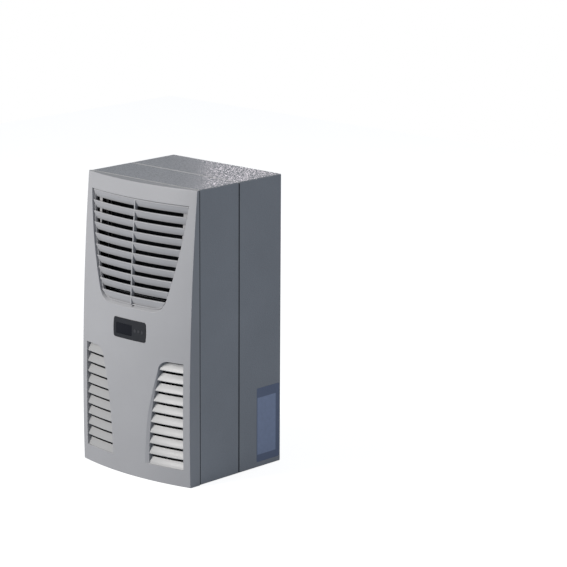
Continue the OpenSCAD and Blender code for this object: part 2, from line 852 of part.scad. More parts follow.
// Terminal block for the supply, in the back panel
module power_terminals() {
  color([0.20, 0.42, 0.30])
  difference() {
    block(socket_x - socket_w / 2, socket_x + socket_w / 2, -socket_back, socket_depth,
      socket_z - socket_h / 2, socket_z + socket_h / 2);
    for (i = [0:socket_poles - 1])
      rod(socket_x + (i - (socket_poles - 1) / 2) * pole_pitch, socket_z,
        -socket_back - over, socket_depth / 2, pole_r);
  }
}
// Temperature probe in the enclosure's air, clipped to the partition
module inlet_sensor() {
  color([0.85, 0.86, 0.88]) {
    translate(place(sensor_x, part_d - 2 * sensor_r, sensor_z - sensor_len / 2))
      cylinder(h = sensor_len, r = sensor_r, $fn = small_fn);
    block(sensor_x - sensor_r, sensor_x + sensor_r, part_d - 2 * sensor_r, part_d,
      sensor_z - sensor_r, sensor_z + sensor_r);
  }
}

// Fans: each fan is drawn round its own axis, its back at height zero, then laid into place
function fan_bore(size) = size / 2 - fan_wall;
function fan_hub(size) = fan_hub_share * fan_bore(size);
module fan_place(z, d) {
  translate([0, rear_y - d, z]) rotate([90, 0, 0]) children();
}
module fan_screw_places(size, x, z) {
  reach = size / 2 - fan_screw_edge;
  for (a = [-reach, reach], b = [-reach, reach]) translate([x + a, 0, z + b]) children();
}
module fan_housing(size) {
  bore_r = fan_bore(size);
  reach = size / 2 - fan_screw_edge;
  corner = size / 2 - fan_corner_r;
  difference() {
    linear_extrude(height = fan_depth) difference() {
      union() {
        square([size, size - 2 * fan_corner_r], center = true);
        square([size - 2 * fan_corner_r, size], center = true);
        for (a = [-corner, corner], b = [-corner, corner])
          translate([a, b]) circle(r = fan_corner_r, $fn = small_fn);
      }
      circle(r = bore_r, $fn = 2 * small_fn);
      for (a = [-reach, reach], b = [-reach, reach])
        translate([a, b]) circle(r = fan_screw_r + slip, $fn = small_fn);
    }
  }
  linear_extrude(height = fan_strut_t) {
    circle(r = fan_hub(size), $fn = 2 * small_fn);
    for (i = [0:fan_strut_count - 1]) rotate(90 + 360 * i / fan_strut_count)
      translate([0, -fan_strut_w / 2]) square([bore_r + fan_wall / 2, fan_strut_w]);
  }
}
module fan_core(size) {
  r = fan_hub(size) - fan_hub_wall - stator_gap;
  translate([0, 0, fan_strut_t]) {
    cylinder(h = stator_share * fan_depth, r = r, $fn = small_fn);
    cylinder(h = fan_depth - 2 * fan_strut_t - fan_end_gap, r = shaft_r, $fn = small_fn);
  }
}
module fan_wheel(size) {
  hub = fan_hub(size);
  foot = fan_strut_t + fan_end_gap;
  head = fan_depth - fan_strut_t;
  tip = fan_bore(size) - fan_tip_gap;
  boss_z = fan_strut_t + stator_share * fan_depth + fan_end_gap;
  difference() {
    union() {
      difference() {
        translate([0, 0, foot]) cylinder(h = head - foot, r = hub, $fn = 2 * small_fn);
        translate([0, 0, foot - over])
          cylinder(h = head - foot - fan_cap_t + over, r = hub - fan_hub_wall, $fn = small_fn);
      }
      translate([0, 0, boss_z]) cylinder(h = head - boss_z, r = 2 * shaft_r, $fn = small_fn);
      for (i = [0:blade_count - 1]) rotate(360 * i / blade_count)
        fan_blade(foot + blade_root, head - blade_root, hub, tip);
    }
    translate([0, 0, boss_z - over])
      cylinder(h = head - boss_z + 2 * over, r = shaft_r + bore_play, $fn = small_fn);
  }
}
module fan_blade(foot, head, hub, tip) {
  intersection() {
    difference() {
      translate([0, 0, foot]) cylinder(h = head - foot, r = tip, $fn = 2 * small_fn);
      translate([0, 0, foot - over])
        cylinder(h = head - foot + 2 * over, r = hub - blade_root, $fn = 2 * small_fn);
    }
    translate([0, 0, (foot + head) / 2]) rotate([blade_angle, 0, 0])
      translate([0, -blade_t / 2, -tip]) cube([tip + over, blade_t, 2 * tip]);
  }
}
module fan_screw(from_d, to_d, head_at_back) {
  rod(0, 0, from_d, to_d, fan_screw_r);
  head_d = head_at_back ? from_d - fan_screw_head_t : to_d;
  rod(0, 0, head_d, head_d + fan_screw_head_t, fan_screw_head_r);
}
// Enclosure fan: its struts face the chamber, so it is turned round
module evap_fan_place() {
  translate([0, rear_y - evap_fan_d - fan_depth, evap_fan_z]) rotate([-90, 0, 0]) children();
}
module evaporator_fan_frame() {
  color([0.13, 0.13, 0.14]) evap_fan_place() fan_housing(evap_fan_size);
}
module evaporator_fan_motor() {
  color([0.62, 0.45, 0.25]) evap_fan_place() fan_core(evap_fan_size);
}
module evaporator_fan_rotor() {
  color([0.16, 0.16, 0.17]) evap_fan_place() fan_wheel(evap_fan_size);
}
module evaporator_fan_screws() {
  color([0.78, 0.78, 0.80])
  fan_screw_places(evap_fan_size, 0, evap_fan_z) fan_screw(0, evap_fan_d + fan_depth, false);
}
// Condenser fan: its struts face the partition
module condenser_fan_frame() {
  color([0.13, 0.13, 0.14]) fan_place(cond_mid_z, cond_fan_d) fan_housing(cond_fan_size);
}
module condenser_fan_motor() {
  color([0.62, 0.45, 0.25]) fan_place(cond_mid_z, cond_fan_d) fan_core(cond_fan_size);
}
module condenser_fan_rotor() {
  color([0.16, 0.16, 0.17]) fan_place(cond_mid_z, cond_fan_d) fan_wheel(cond_fan_size);
}
module condenser_fan_screws() {
  color([0.78, 0.78, 0.80])
  fan_screw_places(cond_fan_size, 0, cond_mid_z) fan_screw(cond_fan_d, shroud_back_d + inner_t, true);
}

// Coils: fins on a serpentine of tubes in two rows
module coil_holes(run_z, runs, r) {
  for (i = [0:runs - 1], d = [0, row_pitch])
    translate([d, run_z + i * run_pitch]) circle(r = r, $fn = small_fn);
}
// Plate across the coil at x, drawn in depth and height and drilled for the tubes
module coil_plate(x, t, back_d, front_d, z, h, row_d, run_z, runs) {
  translate([x, rear_y - back_d, z]) rotate([90, 0, -90]) translate([0, 0, -t]) linear_extrude(height = t)
    difference() {
      square([front_d - back_d, h]);
      translate([row_d - back_d, -z]) coil_holes(run_z, runs, coil_r + bore_play);
    }
}
module coil_fins(half, back_d, depth, z, h, row_d, run_z, runs) {
  count = floor((2 * half - fin_pitch) / fin_pitch);
  for (i = [0:count]) {
    x = (i - count / 2) * fin_pitch - fin_t / 2;
    coil_plate(x, fin_t, back_d, back_d + depth, z, h, row_d, run_z, runs);
  }
}
module half_turn(r) {
  rotate_extrude(angle = 180, $fn = small_fn) translate([r, 0]) circle(r = coil_r, $fn = small_fn);
}
// Runs from left to right; both ends leave at the top on the left
module serpentine(end_x, stub_x_end, row_d, run_z, runs) {
  for (row = [0, 1], i = [0:runs - 1]) {
    left = i == runs - 1 ? stub_x_end : end_x;
    translate(place(-left, row_d + row * row_pitch, run_z + i * run_pitch)) rotate([0, 90, 0])
      cylinder(h = left + end_x, r = coil_r, $fn = small_fn);
  }
  for (row = [0, 1], i = [0:2:runs - 2])
    translate(place(end_x, row_d + row * row_pitch, run_z + (i + 0.5) * run_pitch))
      rotate([90, 90, 0]) half_turn(run_pitch / 2);
  for (row = [0, 1], i = [1:2:runs - 3])
    translate(place(-end_x, row_d + row * row_pitch, run_z + (i + 0.5) * run_pitch))
      rotate([90, -90, 0]) half_turn(run_pitch / 2);
  translate(place(-end_x, row_d + row_pitch / 2, run_z)) rotate([0, 0, 90]) half_turn(row_pitch / 2);
}
coil_end = 2;
module evaporator_fins() {
  color([0.80, 0.82, 0.84])
  coil_fins(evap_half_w, evap_back_d, evap_depth, evap_z, evap_h, evap_row_back_d, evap_run_z, evap_runs);
}
module evaporator_tubes() {
  color([0.72, 0.43, 0.25])
  serpentine(evap_bracket_x + inner_t + coil_end, evap_bracket_x + inner_t + coil_end + stub_len,
    evap_row_back_d, evap_run_z, evap_runs);
}
module evaporator_brackets() {
  color([0.74, 0.75, 0.77]) both_sides() {
    coil_plate(evap_bracket_x, inner_t, evap_back_d, part_d, evap_z, evap_h,
      evap_row_back_d, evap_run_z, evap_runs);
    block(evap_bracket_x, evap_bracket_x + part_flange, part_d - inner_t, part_d, evap_z, evap_z + evap_h);
  }
}
// Tray under the evaporator, with the drain spigot in its floor
module drip_tray() {
  mid_d = (drip_back_d + drip_front_d) / 2;
  inner_half_w = drip_half_w - drip_wall;
  color([0.25, 0.26, 0.28])
  difference() {
    union() {
      block(-drip_half_w, drip_half_w, drip_back_d, drip_front_d, drip_z, drip_z + drip_h);
      translate(place(0, mid_d, drain_foot_z))
        cylinder(h = drip_z - drain_foot_z + drip_wall / 2, r = drain_r, $fn = small_fn);
    }
    block(-inner_half_w, inner_half_w, drip_back_d + drip_wall, drip_front_d - drip_wall,
      drip_z + drip_wall, drip_z + drip_h + over);
    translate(place(0, mid_d, drain_foot_z - over))
      cylinder(h = drip_z + drip_h, r = drain_r - drain_wall, $fn = small_fn);
  }
}
module condenser_fins() {
  color([0.80, 0.82, 0.84])
  coil_fins(cond_half_w, cond_back_d, cond_depth, cond_fin_z, cond_fin_h,
    cond_row_back_d, cond_run_z, cond_runs);
}
module condenser_tubes() {
  color([0.72, 0.43, 0.25])
  serpentine(cond_bracket_x + sheet_t + coil_end, cond_bracket_x + sheet_t + coil_end + stub_len,
    cond_row_back_d, cond_run_z, cond_runs);
}
// Side plates that carry the condenser, the shroud and the fan from the partition
module condenser_brackets() {
  z = cond_frame_z;
  h = cond_frame_h;
  color([0.74, 0.75, 0.77]) both_sides()
  difference() {
    union() {
      coil_plate(cond_bracket_x, sheet_t, part_front_d, flange_front_d, z, h,
        cond_row_back_d, cond_run_z, cond_runs);
      block(cond_bracket_x, cond_bracket_x + flange_w, part_front_d, part_front_d + sheet_t, z, z + h);
      block(cond_bracket_x - flange_w, cond_bracket_x, cond_flange_back_d, flange_front_d, z, z + h);
    }
    rod(hood_screw_x, hood_screw_z, cond_flange_back_d - over, flange_front_d + over, m5_r + slip);
  }
}
// Shroud that closes the condenser's back round the fan
module fan_shroud() {
  color([0.74, 0.75, 0.77])
  difference() {
    union() {
      span(shroud_back_d, shroud_back_d + inner_t)
        translate([-cond_bracket_x, cond_frame_z]) square([2 * cond_bracket_x, cond_frame_h]);
      span(shroud_back_d, cond_back_d - soft_gap)
        frame_2d(cond_bracket_x, cond_frame_z, cond_frame_h, inner_t);
    }
    rod(0, cond_mid_z, shroud_back_d - over, shroud_back_d + inner_t + over, fan_bore(cond_fan_size));
    fan_screw_places(cond_fan_size, 0, cond_mid_z)
      rod(0, 0, shroud_back_d - over, shroud_back_d + inner_t + over, fan_screw_r + slip);
  }
}

// Compressor: sealed shell with domed ends, its foot plate and two pipe stubs
module compressor() {
  color([0.08, 0.08, 0.09])
  translate(place(-comp_x, comp_d, 0)) {
    translate([0, 0, comp_z]) rotate_extrude($fn = 2 * small_fn) comp_profile();
    foot_plate();
    for (x = [-stub_x, stub_x]) translate([x, 0, comp_z + comp_h - comp_corner_r / 2])
      cylinder(h = stub_h + comp_corner_r / 2, r = stub_r, $fn = small_fn);
  }
}
module comp_profile() {
  square([comp_r - comp_corner_r, comp_h]);
  translate([0, comp_corner_r]) square([comp_r, comp_h - 2 * comp_corner_r]);
  for (z = [comp_corner_r, comp_h - comp_corner_r])
    translate([comp_r - comp_corner_r, z]) circle(r = comp_corner_r, $fn = small_fn);
}
module foot_places() {
  reach_x = foot_half_w - foot_ear;
  reach_y = foot_half_d - foot_ear;
  for (x = [-reach_x, reach_x], y = [-reach_y, reach_y]) translate([x, y, 0]) children();
}
module foot_plate() {
  difference() {
    translate([-foot_half_w, -foot_half_d, foot_z]) cube([2 * foot_half_w, 2 * foot_half_d, foot_t]);
    foot_places() translate([0, 0, foot_z - over])
      cylinder(h = foot_t + 2 * over, r = foot_hole_r + soft_gap, $fn = small_fn);
  }
}
// Rubber mounts between the foot plate and the base plate
module compressor_grommets() {
  floor_z = base_z + inner_t;
  color([0.12, 0.12, 0.12])
  translate(place(-comp_x, comp_d, 0)) foot_places() difference() {
    union() {
      translate([0, 0, floor_z]) cylinder(h = foot_z - floor_z, r = grommet_r, $fn = small_fn);
      translate([0, 0, foot_z]) cylinder(h = foot_t, r = foot_hole_r, $fn = small_fn);
      translate([0, 0, foot_z + foot_t])
        cylinder(h = grommet_lip, r = grommet_r - 2 * soft_gap, $fn = small_fn);
    }
    translate([0, 0, floor_z - over])
      cylinder(h = foot_z + grommet_lip + foot_t, r = stud_r + slip, $fn = small_fn);
  }
}
// Weld studs with washer and nut
module compressor_fixings() {
  top_z = foot_z + foot_t + grommet_lip;
  color([0.78, 0.76, 0.66])
  translate(place(-comp_x, comp_d, 0)) foot_places() {
    translate([0, 0, base_z + inner_t])
      cylinder(h = top_z + washer_t + nut_t + stud_spare - base_z - inner_t, r = stud_r, $fn = small_fn);
    translate([0, 0, top_z]) cylinder(h = washer_t, r = washer_r, $fn = small_fn);
    translate([0, 0, top_z + washer_t]) cylinder(h = nut_t, r = nut_r, $fn = 6);
  }
}
// Cover over the compressor's electrical terminals
module terminal_cover() {
  color([0.10, 0.10, 0.11])
  difference() {
    block(-comp_x, -comp_x + comp_r + cover_reach, comp_d - cover_w / 2, comp_d + cover_w / 2,
      cover_z, cover_z + cover_h);
    translate(place(-comp_x, comp_d, 0))
      cylinder(h = cover_z + cover_h + over, r = comp_r + slip, $fn = 2 * small_fn);
  }
}

// Refrigerant pipes
cond_stub_x = -(cond_bracket_x + sheet_t + coil_end + stub_len);
evap_stub_x = -(evap_bracket_x + inner_t + coil_end + stub_len);
cond_top_z = cond_run_z + (cond_runs - 1) * run_pitch;
module discharge_line() {
  color([0.72, 0.43, 0.25])
  tube_along(pipe_route([
    place(discharge_x, comp_d, stub_top_z),
    place(discharge_x, comp_d, pipe_high_z),
    place(-pipe_wall_x, comp_d, pipe_high_z),
    place(-pipe_wall_x, comp_d, cond_top_z),
    place(-pipe_wall_x, cond_row_back_d, cond_top_z),
    place(cond_stub_x, cond_row_back_d, cond_top_z)
  ], 0.95 * pipe_bend_r), discharge_r);
}
module liquid_line() {
  color([0.72, 0.43, 0.25])
  tube_along(pipe_route([
    place(cond_stub_x, cond_row_front_d, cond_top_z),
    place(-pipe_wall_x, cond_row_front_d, cond_top_z),
    place(-pipe_wall_x, cond_row_front_d, liquid_low_z),
    place(drier_x + 2 * liquid_r, cond_row_front_d, liquid_low_z),
    place(drier_x + 2 * liquid_r, drier_d + 2 * pipe_bend_r, liquid_low_z),
    place(drier_x, drier_d, liquid_low_z),
    place(drier_x, drier_d, drier_z + drier_h)
  ], 0.6 * pipe_bend_r), liquid_r);
}
module filter_drier() {
  color([0.74, 0.46, 0.28])
  translate(place(drier_x, drier_d, drier_z)) rotate_extrude($fn = small_fn) polygon([
    [0, 0], [liquid_r, 0], [drier_r, drier_cone],
    [drier_r, drier_h - drier_cone], [liquid_r, drier_h], [0, drier_h]
  ]);
}
function cap_coil_points() =
  let (count = cap_coil_turns * cap_coil_sides)
  [for (i = [0:count])
    let (a = 180 + 360 * i / cap_coil_sides, z = cap_coil_z + cap_coil_pitch * i / cap_coil_sides)
    place(cap_coil_x + cap_coil_r * cos(a), cap_coil_d + cap_coil_r * sin(a), z)];
module capillary_tube() {
  left_x = cap_coil_x - cap_coil_r;
  top_z = cap_coil_z + cap_coil_turns * cap_coil_pitch;
  color([0.72, 0.43, 0.25])
  tube_along(concat(
    pipe_route([
      place(drier_x, drier_d, drier_z),
      place(drier_x, drier_d, drier_z - pipe_bend_r),
      place(left_x, cap_coil_d - 2 * pipe_bend_r, drier_z - pipe_bend_r),
      place(left_x, cap_coil_d - capillary_r, cap_coil_z)
    ], 0.4 * pipe_bend_r),
    cap_coil_points(),
    pipe_route([
      place(left_x, cap_coil_d + capillary_r, top_z + capillary_r),
      place(left_x, cap_coil_d + pipe_bend_r, top_z + 2 * capillary_r),
      place(cap_cross_x, cap_coil_d + pipe_bend_r, cap_cross_z),
      place(cap_cross_x, evap_row_front_d, cap_cross_z),
      place(evap_stub_x - pipe_bend_r, evap_row_front_d, cap_cross_z - pipe_bend_r),
      place(evap_stub_x - pipe_bend_r, evap_row_front_d, evap_top_z),
      place(evap_stub_x, evap_row_front_d, evap_top_z)
    ], 0.3 * pipe_bend_r)
  ), capillary_r, 6);
}
module suction_line() {
  color([0.70, 0.42, 0.24])
  tube_along(pipe_route([
    place(evap_stub_x, evap_row_back_d, evap_top_z),
    place(evap_stub_x - 2 * pipe_bend_r, evap_row_back_d, evap_top_z),
    place(evap_stub_x - 2 * pipe_bend_r, evap_row_back_d, cross_z),
    place(suction_x, evap_row_back_d, cross_z),
    place(suction_x, comp_d, cross_z),
    place(suction_x, comp_d, stub_top_z)
  ], 0.95 * pipe_bend_r), suction_r);
}

// Control box with its board, cover and the compressor's capacitor on top
module control_box() {
  color([0.66, 0.67, 0.69])
  difference() {
    block(ctrl_x, ctrl_x + ctrl_w, part_front_d, part_front_d + ctrl_depth, ctrl_z, ctrl_z + ctrl_h);
    block(ctrl_x + ctrl_wall, ctrl_x + ctrl_w - ctrl_wall,
      part_front_d + ctrl_wall, part_front_d + ctrl_depth + over,
      ctrl_z + ctrl_wall, ctrl_z + ctrl_h - ctrl_wall);
    translate(place(ctrl_x - over, comp_d - cover_w / 4, compressor_lead_z)) rotate([0, 90, 0])
      cylinder(h = ctrl_wall + 2 * over, r = compressor_lead_r + soft_gap, $fn = small_fn);
    translate(place(fan_lead_x, fan_lead_d, ctrl_z + ctrl_h - ctrl_wall - over))
      cylinder(h = ctrl_wall + 2 * over, r = lead_r + soft_gap, $fn = small_fn);
  }
}
module control_box_cover() {
  d = part_front_d + ctrl_depth;
  color([0.62, 0.63, 0.65]) {
    block(ctrl_x, ctrl_x + ctrl_w, d, d + ctrl_cover_t, ctrl_z, ctrl_z + ctrl_h);
  }
}
module control_board() {
  d = part_front_d + ctrl_wall + ctrl_board_gap;
  x0 = ctrl_x + ctrl_board_margin;
  x1 = ctrl_x + ctrl_w - ctrl_board_margin;
  z0 = ctrl_z + ctrl_board_margin;
  z1 = ctrl_z + ctrl_h - ctrl_board_margin;
  color([0.10, 0.35, 0.18]) {
    block(x0, x1, d, d + board_t, z0, z1);
    for (x = [x0 + 2 * standoff_r, x1 - 2 * standoff_r], z = [z0 + 2 * standoff_r, z1 - 2 * standoff_r])
      rod(x, z, d - ctrl_board_gap, d, standoff_r);
    for (i = [0:relay_count - 1]) {
      x = x0 + board_t + i * (relay_w + board_t);
      block(x, x + relay_w, d + board_t, d + board_t + relay_depth, z1 - 2 * relay_h, z1 - relay_h);
    }
    block(x0 + ctrl_board_margin, x0 + ctrl_board_margin + transformer_w,
      d + board_t, d + board_t + transformer_depth, z0 + relay_w, z0 + relay_w + transformer_h);
  }
}
module run_capacitor() {
  z = ctrl_z + ctrl_h;
  color([0.80, 0.81, 0.83])
  translate(place(capacitor_x, capacitor_d, z)) {
    cylinder(h = capacitor_h, r = capacitor_r, $fn = small_fn);
    for (x = [-capacitor_r / 3, capacitor_r / 3])
      translate([x - board_t, -standoff_r, capacitor_h]) cube([board_t, 2 * standoff_r, 4 * board_t]);
  }
}
module compressor_lead() {
  start_x = -comp_x + comp_r + cover_reach;
  color([0.07, 0.07, 0.08])
  translate(place(start_x, comp_d - cover_w / 4, compressor_lead_z)) rotate([0, 90, 0])
    cylinder(h = ctrl_x + ctrl_wall - start_x, r = compressor_lead_r, $fn = small_fn);
}
module fan_lead() {
  rest_d = part_front_d + soft_gap + lead_r;
  foot_z = ctrl_z + ctrl_h - ctrl_wall;
  color([0.07, 0.07, 0.08])
  tube_along(pipe_route([
    place(fan_lead_x, fan_lead_d, foot_z),
    place(fan_lead_x, fan_lead_d, foot_z + 2 * pipe_bend_r),
    place(fan_lead_x, rest_d, foot_z + 2 * pipe_bend_r),
    place(fan_lead_x, rest_d, cond_fan_foot_z - 2 * pipe_bend_r),
    place(fan_lead_x, cond_fan_d + fan_depth / 2, cond_fan_foot_z - 2 * pipe_bend_r),
    place(fan_lead_x, cond_fan_d + fan_depth / 2, cond_fan_foot_z)
  ], pipe_bend_r), lead_r, 8);
}
module rating_plate() {
  color([0.55, 0.58, 0.70])
  block(half_w - plate_seat_t, half_w - plate_seat_t + plate_t, plate_d + slip, plate_d + plate_w - slip,
    plate_z + slip, plate_z + plate_h - slip);
}

// Hood: folded sheet with its front panel, air windows and two guide pins
module hood_window_2d() {
  foot = window_foot_z + hood_window_rise;
  head = window_top_z + hood_window_over;
  translate([-hood_window_half_w, foot]) square([2 * hood_window_half_w, head - foot]);
  translate([-half_w + hood_side_margin, head - hood_wing_h])
    square([body_w - 2 * hood_side_margin, hood_wing_h]);
}
module hood_shell() {
  color(casing_grey)
  difference() {
    union() {
      span(hood_start_d, panel_front_d) casing_ring(0, sheet_t);
      span(panel_back_d, panel_front_d) casing_face(0);
      both_sides() rod(guide_x, guide_z, panel_back_d - guide_len, panel_back_d, guide_r);
    }
    span(panel_back_d - over, panel_front_d + over) {
      hood_window_2d();
      both_sides() translate([pocket_foot_x + vent_margin, pocket_foot_z - vent_margin])
        square([pocket_outer_x - pocket_foot_x, pocket_h]);
      translate([-cable_w / 2, display_z - cable_h / 2]) square([cable_w, cable_h]);
    }
    both_sides() rod(hood_screw_x, hood_screw_z, panel_back_d - over, panel_front_d + over, m5_r + slip);
    boss_places() rod(0, 0, panel_back_d - over, panel_front_d + over, m3_r + hole_play);
  }
}
// Foam frame that closes the gap between the hood and the condenser
module hood_seal() {
  color([0.12, 0.12, 0.13])
  difference() {
    span(panel_back_d - soft_gap - seal_t, panel_back_d - soft_gap)
      frame_2d(cond_bracket_x, cond_frame_z, cond_frame_h, seal_w);
    both_sides() rod(hood_screw_x, hood_screw_z, flange_front_d, panel_front_d, m5_r + 2 * soft_gap);
  }
}
module hood_screws() {
  color([0.78, 0.78, 0.80])
  both_sides() {
    rod(hood_screw_x, hood_screw_z, cond_flange_back_d - slip, panel_front_d, m5_r);
    rod(hood_screw_x, hood_screw_z, panel_front_d, panel_front_d + m5_head_t, m5_head_r);
  }
}
module boss_places() {
  for (side = [-1, 1]) {
    translate([side * (half_w - boss_edge), 0, body_h - boss_edge]) children();
    translate([side * (half_w - boss_edge), 0, boss_mid_z]) children();
    translate([side * boss_foot_x, 0, boss_foot_z]) children();
  }
}
module fascia_screws() {
  color([0.78, 0.78, 0.80])
  boss_places() {
    rod(0, 0, panel_back_d - m3_head_t, panel_back_d, m3_head_r);
    rod(0, 0, panel_back_d, panel_back_d + m3_len, m3_r);
  }
}

// Front fascia: bowed moulding with the grille window, the louvre pockets and the display cut-out
module front_fascia() {
  color(fascia_grey)
  difference() {
    union() {
      fascia_skin();
      fascia_sides();
      window_rim();
      both_sides() pocket_rim();
      both_sides() louvres();
      fascia_bosses();
    }
    boss_places() rod(0, 0, panel_front_d - over, panel_front_d + m3_len, m3_r + bore_play);
  }
}
module front_box() {
  block(-half_w, half_w, panel_front_d - over, panel_front_d + edge_max + bow + over, 0, body_h);
}
module fascia_skin() {
  difference() {
    intersection() {
      skin_shell(0, skin_t);
      front_box();
    }
    through_front() polygon(window_outline(0));
    through_front() notch_2d();
    both_sides() through_front() polygon(pocket_outline(0));
    through_front() polygon(bezel_outline(-slip));
  }
}
module fascia_sides() {
  intersection() {
    behind_skin(skin_t / 2);
    union() {
      span(panel_front_d + fascia_gap, panel_front_d + edge_max + bow) casing_ring_square(0, skin_t);
      span(panel_front_d, panel_front_d + fascia_gap + skin_t) casing_ring_square(skin_t, 2 * skin_t);
    }
  }
}
module casing_ring_square(outer, inner) {
  difference() {
    translate([-half_w + outer, outer]) square([body_w - 2 * outer, body_h - 2 * outer]);
    translate([-half_w + inner, inner]) square([body_w - 2 * inner, body_h - 2 * inner]);
  }
}
// Collar round the window, with a ledge that the grille rests on
module window_rim() {
  difference() {
    intersection() {
      skin_shell(skin_t / 2, rim_depth);
      through_rim() polygon(window_outline(-collar_t));
    }
    intersection() {
      skin_shell(-over, rim_depth - ledge_t);
      through_rim() polygon(window_outline(0));
    }
    through_rim() polygon(window_outline(ledge_w));
    through_front() notch_2d();
  }
}
module notch_2d() {
  translate([rib_w / 2, window_foot_z - notch_h]) square([notch_w, 2 * notch_h]);
}
module through_rim() {
  span(panel_front_d - rim_depth, panel_front_d + edge_max + bow + over) children();
}
module pocket_rim() {
  intersection() {
    skin_shell(skin_t / 2, pocket_rim_depth);
    through_front() difference() {
      polygon(pocket_outline(-pocket_rim_t));
      polygon(pocket_outline(0));
    }
  }
}
module louvres() {
  intersection() {
    union() {
      for (i = [0:louvre_count - 1]) {
        z = pocket_top_z - louvre_first_drop - i * louvre_pitch;
        rise = i == 0 ? min(louvre_rise, louvre_first_drop - louvre_top_gap) : louvre_rise;
        back = louvre_recess + louvre_depth * rise / louvre_rise;
        bowed_strip([
          [louvre_recess, z - louvre_lip],
          [louvre_recess, z],
          [back, z + rise],
          [back, z + rise - louvre_lip]
        ]);
      }
    }
    through_front() polygon(pocket_outline(-pocket_rim_t / 2));
  }
}
module fascia_bosses() {
  intersection() {
    behind_skin(skin_t / 2);
    boss_places() rod(0, 0, panel_front_d, panel_front_d + edge_max + bow, boss_r);
  }
}

// Display: bezel, window, board and three keys
module display_box(x0, x1, z0, z1) {
  through_front() translate([x0, display_z + z0]) square([x1 - x0, z1 - z0]);
}
module screen_cut(play) {
  display_box(screen_x - play, screen_x + screen_w + play,
    -screen_h / 2 - screen_drop - play, screen_h / 2 - screen_drop + play);
}
module key_places(which) {
  translate([key_x + which * key_pitch, 0, display_z]) children();
}
module display_bezel() {
  inside = bezel_wall;
  color([0.17, 0.17, 0.18])
  difference() {
    union() {
      intersection() {
        skin_shell(-bezel_proud, bezel_face_t);
        through_front() polygon(bezel_outline(0));
      }
      intersection() {
        behind_skin(bezel_face_t / 2);
        span(board_back_d - board_t, display_front_d) difference() {
          polygon(bezel_outline(0));
          polygon(bezel_outline(inside));
        }
      }
      intersection() {
        behind_skin(bezel_face_t / 2);
        span(board_front_d, display_front_d) intersection() {
          polygon(bezel_outline(inside / 2));
          bezel_corners_2d();
        }
      }
    }
    screen_cut(0);
    for (i = [0:2]) key_places(i)
      rod(0, 0, panel_front_d, display_front_d + over + bezel_proud, key_r + key_play);
  }
}
module bezel_corners_2d() {
  for (x = [-1, 1], z = [-1, 1])
    translate([x * (bezel_w / 2 - post_w), display_z + z * (bezel_h / 2 - post_w / 2)])
      square([2 * post_w, post_w], center = true);
}
module display_window() {
  color([0.03, 0.03, 0.04])
  intersection() {
    skin_shell(-window_proud, window_t);
    screen_cut(-slip / 2);
  }
}
// Board with its display block behind the window and one switch behind each key
module display_board() {
  color([0.10, 0.35, 0.18]) {
    span(board_back_d, board_front_d) polygon(bezel_outline(bezel_wall + board_play));
    intersection() {
      behind_skin(window_t + soft_gap);
      span(board_front_d, display_front_d)
        translate([screen_x + module_t / 4, display_z - screen_drop - screen_h / 2 + module_t / 4])
          square([screen_w - module_t / 2, screen_h - module_t / 2]);
    }
    for (i = [0:2]) key_places(i) rod(0, 0, board_front_d, switch_front_d, key_r - key_play);
  }
}
module key(which) {
  foot_d = switch_front_d + key_travel + soft_gap;
  color([0.22, 0.22, 0.24])
  key_places(which) {
    intersection() {
      translate([-key_x - which * key_pitch, 0, -display_z]) behind_skin(-key_proud);
      rod(0, 0, foot_d, display_front_d + key_proud + over, key_r);
    }
    rod(0, 0, foot_d, foot_d + key_flange_t, key_flange_r);
  }
}
module key_set() {
  key(0);
}
module key_up() {
  key(1);
}
module key_down() {
  key(2);
}

// Pull-out grille: frame band, bowed slats, middle rib and two hooks
module louvre_grille() {
  color(fascia_grey) {
    intersection() {
      skin_shell(grille_recess + band_set, grille_recess + band_depth);
      through_rim() difference() {
        polygon(window_outline(grille_play));
        polygon(window_outline(grille_play + band_t));
      }
    }
    intersection() {
      union() {
        for (i = [0:slat_count - 1]) slat(window_top_z - grille_play - i * slat_pitch);
      }
      through_rim() polygon(window_outline(grille_play + band_t / 2));
    }
    intersection() {
      skin_shell(grille_recess + rib_set, grille_recess + rib_depth);
      through_rim() translate([-rib_w / 2, window_foot_z + grille_play + band_t / 2])
        square([rib_w, window_h - 2 * grille_play - band_t]);
    }
    both_sides() intersection() {
      union() {
        skin_shell(hook_back - hook_t, hook_back);
        intersection() {
          skin_shell(grille_recess + slat_lean + slat_t / 3, hook_back - hook_t / 2);
          span(panel_front_d - rim_depth, panel_front_d + edge_max + bow)
            translate([hook_x - over, hook_top_z - hook_root_h])
              square([hook_top_w + 2 * over, hook_root_h + over]);
        }
      }
      through_rim() polygon([
        [hook_x, hook_top_z],
        [hook_x + hook_top_w, hook_top_z],
        [hook_x + hook_foot_w, window_top_z - hook_h],
        [hook_x, window_top_z - hook_h]
      ]);
    }
  }
}
module slat(z) {
  front = grille_recess;
  bowed_strip([
    [front, z - lip_bead],
    [front, z - 0.3 * lip_bead],
    [front + 0.3 * lip_bead, z],
    [front + slat_t, z],
    [front + slat_t + slat_lean, z - slat_h],
    [front + slat_lean, z - slat_h]
  ]);
}

